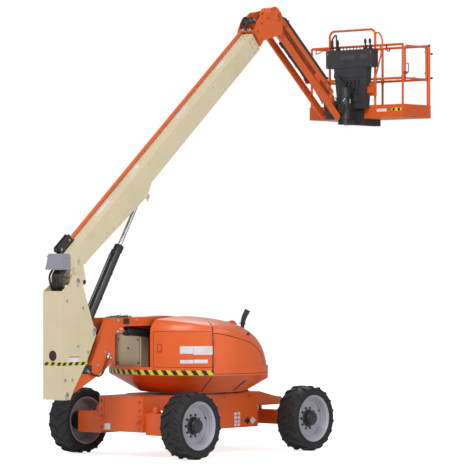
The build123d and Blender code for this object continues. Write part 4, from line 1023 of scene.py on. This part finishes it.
@piece_of(HOSE, "platform", "black_plastic")
def console_levers(bm):
    """A row of switches, three joysticks and the loop that guards the handset."""
    for k in range(13):
        y = DESK_LOW[1] + 0.06 + k * 0.065
        base = frame_at((DESK_X0 + 0.035, y, DESK_TOP + 0.02), (-0.25, 0, 1))
        add_lathe(bm, SWITCH, base, 12)
    for y in (0.30, -0.24, -0.33):
        base = frame_at((DESK_X1 - 0.06, y, DESK_TOP + 0.02), (-0.1, 0, 1))
        add_lathe(bm, JOYSTICK, base, 20)
    x = DESK_X0 + 0.03
    handset_loop = [(x, 0.375, DESK_TOP), (x, 0.375, DESK_TOP + 0.2), (x, 0.29, DESK_TOP + 0.28),
                    (x, 0.285, DESK_TOP + 0.1), (x, 0.285, DESK_TOP)]
    add_tube(bm, rounded(handset_loop, 0.05), 0.012, 12)
    sleeve = [(0.02, -0.06), (0.024, -0.05), (0.024, 0.05), (0.02, 0.06)]
    add_lathe(bm, sleeve, frame_at((x, 0.375, DESK_TOP + 0.12), UP), 16)


@piece_of([GREY_PLASTIC, ZINC], "platform", "black_plastic", smooth=False)
def console_plates(bm):
    add_patch(bm, (DESK_X0 - 0.001, 0.05, DESK_TOP - 0.09), RIGHT, UP, 0.28, 0.07, 0.001)
    add_patch(bm, (DESK_X0 - 0.001, -0.27, DESK_TOP - 0.09), RIGHT, UP, 0.14, 0.07, 0.001)
    for y, z in ((0.44, DESK_TOP - 0.03), (-0.40, DESK_TOP - 0.03), (0.44, DESK_TOP - 0.22), (-0.40, DESK_TOP - 0.22)):
        add_bolt(bm, (DESK_X0 - 0.001, y, z), BACK, 0.008, 0.002, 1)


@piece_of([HOSE, BLACK], "platform", "tyre_rubber")
def pedestal_hoses(bm):
    """The handset's coiled lead, and four short hoses down the pedestal."""
    turns, steps, coil_r = 6, 96, 0.026
    coil = []
    for k in range(steps + 1):
        f = k / steps
        a = f * TAU * turns
        coil.append((DESK_X1 - 0.18 + coil_r * math.cos(a), 0.19 - 0.14 * f + 0.012 * math.sin(a),
                     5.54 - 0.13 * f + coil_r * math.sin(a)))
    add_tube(bm, coil, 0.008, 8)
    for k in range(4):
        y = -0.16 + 0.075 * k
        face, out = PEDESTAL_X, PEDESTAL_X - 0.03
        add_hose(bm, [(face, y, 5.48), (out, y, 5.45), (out, y + 0.02, 5.30), (face, y + 0.02, 5.27)], 0.011, 0.02)


@piece_of([BLACK, ZINC], "platform_rotator", "black_paint")
def rotator_trim(bm):
    for k in range(3):
        z = 4.97 + 0.12 * k
        add_lathe(bm, [(0.104, -0.012), (0.112, -0.01), (0.112, 0.01), (0.104, 0.012)],
                  frame_at((ROTATOR_X, 0, z), UP), 36, closed=True)
    for p in ring(8, 0.082, 5.29):
        add_bolt(bm, p + Vector((ROTATOR_X, 0, 0)), UP, 0.009, 0.004, 1)
    for side in (-1, 1):
        add_box(bm, (ROTATOR_X - 0.03, side * 0.10 - 0.02, 5.05), (ROTATOR_X + 0.03, side * 0.10 + 0.02, 5.16))
        add_hose(bm, [(ROTATOR_X, side * 0.118, 5.14), (ROTATOR_X - 0.02, side * 0.135, 5.20),
                      (ROTATOR_X - 0.08, side * 0.10, 5.22), (ROTATOR_X - 0.09, side * 0.06, 5.16)], 0.010, 0.03)


@piece_of(ORANGE, "platform", "orange_paint", bevel=0.004)
def platform_bracket(bm):
    add_box(bm, (DESK_X1 - 0.09, -0.40, 5.28), (DESK_X1 - 0.03, -0.29, 5.38))
    add_box(bm, (DESK_X1 - 0.05, -0.43, 5.24), (DESK_X1 - 0.03, -0.27, 5.44))


@piece_of(ORANGE, "platform", "orange_paint")
def rail_fittings(bm):
    """Collars and feet of the posts, the corner sleeve, the bent branch and two grips."""
    collars = [(x, y) for x in (POST_X, FRONT_X) for y in (-POST_Y, POST_Y)]
    collars += [(FRONT_X, 0.0), (POST_X, -0.36), (POST_X, 0.53)]
    for x, y in collars:
        add_lathe(bm, [(0.0188, -0.045), (0.024, -0.042), (0.024, 0.042), (0.0188, 0.045)],
                  frame_at((x, y, MID_RAIL), UP), 18, closed=True)
        add_lathe(bm, [(0.0178, 0), (0.030, 0.001), (0.030, 0.006), (0.0178, 0.012)],
                  frame_at((x, y, DECK - 0.004), UP), 18, closed=True)
    add_lathe(bm, [(0.018, 0.0), (0.0285, 0.0), (0.0285, RAIL_TOP - DECK - 0.03), (0.018, RAIL_TOP - DECK - 0.02)],
              frame_at((FRONT_X, -POST_Y, DECK), UP), 24, closed=True)
    branch = rounded([(POST_X, -0.36, 6.19), (POST_X - 0.02, -0.44, 6.215), (POST_X - 0.03, -0.53, 6.10),
                      (POST_X - 0.02, -0.50, 5.90),
                      (POST_X, -0.375, 5.56)], 0.10)
    add_tube(bm, branch, 0.0125, 14)
    for y in (0.66, -0.60):
        grip = [(POST_X, y, RAIL_TOP - 0.01), (GRIP_X, y, RAIL_TOP - 0.05), (GRIP_X, y + 0.12, RAIL_TOP - 0.09),
                (POST_X, y + 0.14, RAIL_TOP - 0.01)]
        add_tube(bm, rounded(grip, 0.03), 0.009, 10)


@piece_of(PLASTIC, "platform", "black_plastic")
def rail_knobs(bm):
    """Three knobs on the corner post and a black hook on the top rail."""
    for x, y, z in ((FRONT_X - 0.03, -POST_Y - 0.02, RAIL_TOP + 0.005),
                    (FRONT_X + 0.02, -POST_Y - 0.028, RAIL_TOP - 0.12),
                    (FRONT_X + 0.02, -POST_Y - 0.028, MID_RAIL + 0.02)):
        add_lathe(bm, [(0.007, -0.01), (0.012, 0.004), (0.017, 0.012), (0.017, 0.026), (0.01, 0.032)],
                  frame_at((x, y, z), RIGHT), 16)
    hook = rounded([(POST_X - 0.02, -0.60, RAIL_TOP + 0.01), (GRIP_X, -0.60, RAIL_TOP - 0.04),
                    (GRIP_X, -0.62, RAIL_TOP - 0.10), (GRIP_X, -0.665, RAIL_TOP - 0.10),
                    (GRIP_X, -0.67, RAIL_TOP - 0.06)], 0.02)
    add_tube(bm, hook, 0.009, 10)


GATE_LOW, GATE_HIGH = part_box("platform_gate")


# The gate's handle and its block in orange darkened as painted shade
@piece_of(ORANGE_SHADED, "platform_gate", "orange_paint", bevel=0.002)
def gate_handle(bm):
    gx = GATE_LOW[0] + 0.015
    gy = (GATE_LOW[1] + GATE_HIGH[1]) / 2
    x, low, high = gx + 0.02, MID_RAIL + 0.08, MID_RAIL + 0.22
    grip = rounded([(x, gy - 0.01, low), (x, gy - 0.05, low), (x, gy - 0.05, high), (x, gy - 0.01, high)], 0.02)
    add_tube(bm, grip, 0.008, 10)
    add_box(bm, (gx - 0.02, gy - 0.019, MID_RAIL + 0.06), (gx + 0.035, gy + 0.019, MID_RAIL + 0.10))


@piece_of(ORANGE_SHADED, "platform", "orange_paint", smooth=False)
def deck_tread(bm):
    """Diamond bars that lean left and right by turns, in orange darkened as painted shade."""
    rows, cols = 14, 42
    for i in range(rows):
        for j in range(cols):
            x = P_X0 + 0.075 + (P_X1 - P_X0 - 0.15) * i / (rows - 1)
            y = -P_HALF + 0.085 + (2 * P_HALF - 0.17) * j / (cols - 1)
            lean = 1 if (i + j) % 2 else -1
            way = Vector((0.7, 0.7 * lean, 0)) * 0.0165
            cross = Vector((-0.7 * lean, 0.7, 0)) * 0.0042
            c = Vector((x, y, DECK))
            base = [bm.verts.new(c + d) for d in (way, cross, -way, -cross)]
            peak = [bm.verts.new(c + d * 0.55 + Vector((0, 0, 0.0022))) for d in (way, cross, -way, -cross)]
            add_shell(bm, [base, peak], flip=True)


@piece_of([LABEL, YELLOW_LABEL, BLACK], "platform", smooth=False)
def toe_labels(bm):
    add_patch(bm, (P_X0, -0.505, FLOOR_LOW[2] + 0.115), RIGHT, UP, 0.19, 0.045)
    add_patch(bm, (P_X0, -0.79, FLOOR_LOW[2] + 0.12), RIGHT, UP, 0.19, 0.045, 0.0012, 1)
    for y in (-0.735, -0.835):
        add_patch(bm, (P_X0 - 0.001, y, FLOOR_LOW[2] + 0.12), RIGHT, UP, 0.045, 0.04, 0.0012, 2)


@piece_of(PLASTIC, "platform", "black_plastic", bevel=0.004)
def foot_switch(bm):
    add_tapered(bm, (4.0, 4.16, 0.30, 0.48, DECK), (4.01, 4.13, 0.31, 0.47, DECK + 0.09))
    add_box(bm, (3.99, 0.29, DECK), (4.17, 0.49, DECK + 0.012))


@piece_of(YELLOW_LABEL, "platform", "steel")
def anchor_rings(bm):
    for y in (0.3, 0.62, -0.3, -0.62):
        eye = frame_at((P_X1 - 0.028, y, MID_RAIL + 0.03), AHEAD)
        add_tube(bm, [eye @ p for p in ring(16, 0.022)], 0.006, 8, closed=True)


# Chassis: flanges, lifting posts, axle bolts, welds, labels, arrows, hoses and hose clips
# Bolts in orange darkened as painted shade
@piece_of([ORANGE, ORANGE_SHADED], "chassis", "orange_paint", bevel=0.002)
def chassis_brackets(bm):
    """Flanges and their bolts, lifting posts, axle bolts, and the welds along the frame."""
    for side in (-1, 1):
        y = side * 0.365
        add_box(bm, (-1.512, y - 0.045, 0.37), (-1.499, y + 0.045, 0.49))
        add_box(bm, (-1.512, y - 0.045, 0.59), (-1.499, y + 0.045, 0.83))
        for z in (0.41, 0.66, 0.78):
            add_bolt(bm, (-1.512, y, z), BACK, 0.014, 0.014, 1)
        add_lathe(bm, [(0.052, 0.0), (0.052, 0.075), (0.044, 0.085), (0.03, 0.088), (0.03, 0.10)],
                  frame_at((-1.36, side * 0.53, 0.615), UP), 28)
        add_box(bm, (-1.43, side * 0.53 - 0.06, 0.615), (-1.29, side * 0.53 + 0.06, 0.632))
        for x in (-1.40, -1.08):
            for z in (0.37, 0.57):
                add_bolt(bm, (x, side * 0.86, z), (0, side, 0), 0.016, 0.012, 1)
        for x in (-0.6, 0.0, 0.55):
            add_bolt(bm, (x, side * 0.6, 0.80), (0, side, 0), 0.011, 0.01, 1)
        add_tube(bm, [(-0.71, side * 0.6, 0.835), (0.71, side * 0.6, 0.835)], 0.005, 8)
        add_tube(bm, [(-0.71, side * 0.6, 0.372), (0.71, side * 0.6, 0.372)], 0.005, 8)


def arrow(x0, x1, z, height):
    """A flat arrow's outline from its tail x0 to its tip x1."""
    way = 1 if x1 > x0 else -1
    neck = x1 - way * height * 0.9
    return [(x0, z - height * 0.25), (neck, z - height * 0.25), (neck, z - height * 0.6), (x1, z),
            (neck, z + height * 0.6), (neck, z + height * 0.25), (x0, z + height * 0.25)]


@piece_of([LABEL, BLACK], "chassis", smooth=False)
def chassis_labels(bm):
    side_y = -0.6
    for z in (0.555, 0.50, 0.445, 0.395):
        for x in (0.245, 0.315):
            add_patch(bm, (x, side_y, z), AHEAD, UP, 0.055, 0.042)
    add_plate(bm, arrow(0.56, 0.43, 0.445, 0.1), side_y - 0.0015, side_y - 0.0002, 1)
    add_plate(bm, arrow(0.565, 0.69, 0.445, 0.1), side_y - 0.0015, side_y - 0.0002, 0)
    add_patch(bm, (-1.33, -0.42, 0.554), AHEAD, UP, 0.11, 0.06)
    add_patch(bm, (-1.5, 0.27, 0.42), RIGHT, UP, 0.12, 0.085)
    add_patch(bm, (0.3, 0.6, 0.5), BACK, UP, 0.12, 0.16)


@piece_of([HOSE, ZINC], "chassis", "tyre_rubber")
def chassis_hoses(bm):
    """Two runs on the deck and two to the rear axle on each side."""
    for side in (-1, 1):
        for k in range(2):
            y = side * (0.30 - 0.04 * k)
            add_hose(bm, [(0.62, y, 0.862), (0.74, y, 0.868), (1.02, y, 0.825), (1.30, y, 0.765), (1.48, y, 0.74)],
                     0.011, 0.08)
        for run in ([(-1.30, 0.43, 0.635), (-1.30, 0.60, 0.636), (-1.24, 0.74, 0.636), (-1.20, 0.84, 0.63)],
                    [(-1.34, 0.62, 0.645), (-1.28, 0.70, 0.642), (-1.16, 0.76, 0.636), (-1.12, 0.84, 0.63)]):
            add_hose(bm, [(x, side * y, z) for x, y, z in run], 0.011, 0.05)


@piece_of(BLACK, "chassis", "black_paint", bevel=0.003)
def hose_clips(bm):
    for side in (-1, 1):
        add_box(bm, (0.72, side * 0.22 - 0.03, 0.855), (0.80, side * 0.36, 0.875))
        add_box(bm, (1.40, side * 0.22, 0.735), (1.50, side * 0.40, 0.752))


# CAD nodes that keep their shape get their finish
FINISH = {
    ORANGE: ["chassis_frame", "rear_axle", "front_axle", "turntable_base", "turntable_plates", "right_hood",
             "left_hood", "tail_cover", "right_hood_door", "left_hood_door", "lower_boom", "boom_nose", "hose_rail",
             "jib_arm", "jib_links", "platform_floor", "platform_rails", "platform_gate"],
    CREAM: ["upright", "main_boom", "valve_cover"],
    BLACK: ["steering_cylinder", "steering_knuckle_right", "steering_knuckle_left", "lower_lift_barrel",
            "upper_lift_barrel", "jib_lift_barrel", "jib_bracket", "platform_rotator", "platform_support",
            "exhaust_stack", "engine_block"],
    CHROME: ["lower_lift_rod", "upper_lift_rod", "jib_lift_rod"],
    STEEL: ["tie_rod", "slew_bearing", "fly_boom"],
    GREY: ["hose_guard"],
    PLASTIC: ["control_console"],
}
for finish, names in FINISH.items():
    for n in names:
        mesh = NODES[n].data
        mesh.materials.clear()
        mesh.materials.append(finish)
        for p in mesh.polygons:
            p.material_index = 0


# Stage, light and camera
FLOOR_GLOW = 0.74
WORLD_LIGHT = 0.38
FOCAL_PIXELS = 2910.52
CAMERA_AT = (-31.10, -27.85, 2.852)
CAMERA_TURN = math.radians(48.157 + 0.829)
CAMERA_RISE = math.radians(0.349)


def make_stage():
    """A pale floor that shows nearly white to the camera."""
    bm = bmesh.new()
    size = 60
    bm.faces.new([bm.verts.new((x * size, y * size, -0.001)) for x, y in ((-1, -1), (1, -1), (1, 1), (-1, 1))])
    mesh = bpy.data.meshes.new("floor")
    bm.to_mesh(mesh)
    bm.free()
    floor = add_object("floor", mesh)
    m, nodes, links, bsdf = new_material("pale_floor")
    at = place(nodes)
    links.new(ramp(nodes, links, noise(nodes, links, at, 0.6, 2), [(0.3, (0.8, 0.8, 0.8)), (0.7, (0.83, 0.83, 0.83))]),
              bsdf.inputs["Base Color"])
    bsdf.inputs["Roughness"].default_value = 0.9
    seen = nodes.new("ShaderNodeLightPath")
    glow = nodes.new("ShaderNodeEmission")
    glow.inputs["Color"].default_value = (1, 1, 1, 1)
    both = nodes.new("ShaderNodeAddShader")
    share = calculate(nodes, links, "MULTIPLY", seen.outputs["Is Camera Ray"], FLOOR_GLOW)
    links.new(share, glow.inputs["Strength"])
    links.new(bsdf.outputs["BSDF"], both.inputs[0])
    links.new(glow.outputs["Emission"], both.inputs[1])
    links.new(both.outputs["Shader"], nodes["Material Output"].inputs["Surface"])
    mesh.materials.append(m)
    return floor


def make_world():
    """A world that is white to the camera and dimmer as a light."""
    world = bpy.data.worlds.new("studio")
    bpy.context.scene.world = world
    world.use_nodes = True
    nodes, links = world.node_tree.nodes, world.node_tree.links
    back = nodes["Background"]
    back.inputs["Color"].default_value = (1, 1, 1, 1)
    path = nodes.new("ShaderNodeLightPath")
    level = nodes.new("ShaderNodeMapRange")
    level.inputs["To Min"].default_value = WORLD_LIGHT
    level.inputs["To Max"].default_value = 1.0
    links.new(path.outputs["Is Camera Ray"], level.inputs["Value"])
    links.new(level.outputs["Result"], back.inputs["Strength"])


def make_lamp(name, at, target, size, power):
    """A rectangular lamp that points at a target."""
    data = bpy.data.lights.new(name, "AREA")
    data.shape = "RECTANGLE"
    data.size, data.size_y = size
    data.energy = power
    add_object(name, data).matrix_world = frame_at(at, Vector(at) - Vector(target))


def make_camera():
    """The photo's camera."""
    data = bpy.data.cameras.new("photo_camera")
    data.sensor_width = 36
    data.lens = FOCAL_PIXELS / PHOTO * data.sensor_width
    data.clip_end = 200
    camera = add_object("photo_camera", data)
    flat = math.cos(CAMERA_RISE)
    way = Vector((math.sin(CAMERA_TURN) * flat, math.cos(CAMERA_TURN) * flat, math.sin(CAMERA_RISE)))
    camera.matrix_world = frame_at(CAMERA_AT, -way)
    bpy.context.scene.camera = camera


make_stage()
make_world()
make_lamp("key", (-14, -6, 16), (0, 0, 2.5), (9, 9), 2600)
make_lamp("fill", (-4, -18, 8), (0, 0, 2.5), (12, 8), 900)
make_lamp("back", (12, 12, 14), (0, 0, 3), (8, 8), 700)
make_camera()
bpy.context.scene.view_settings.view_transform = "Standard"
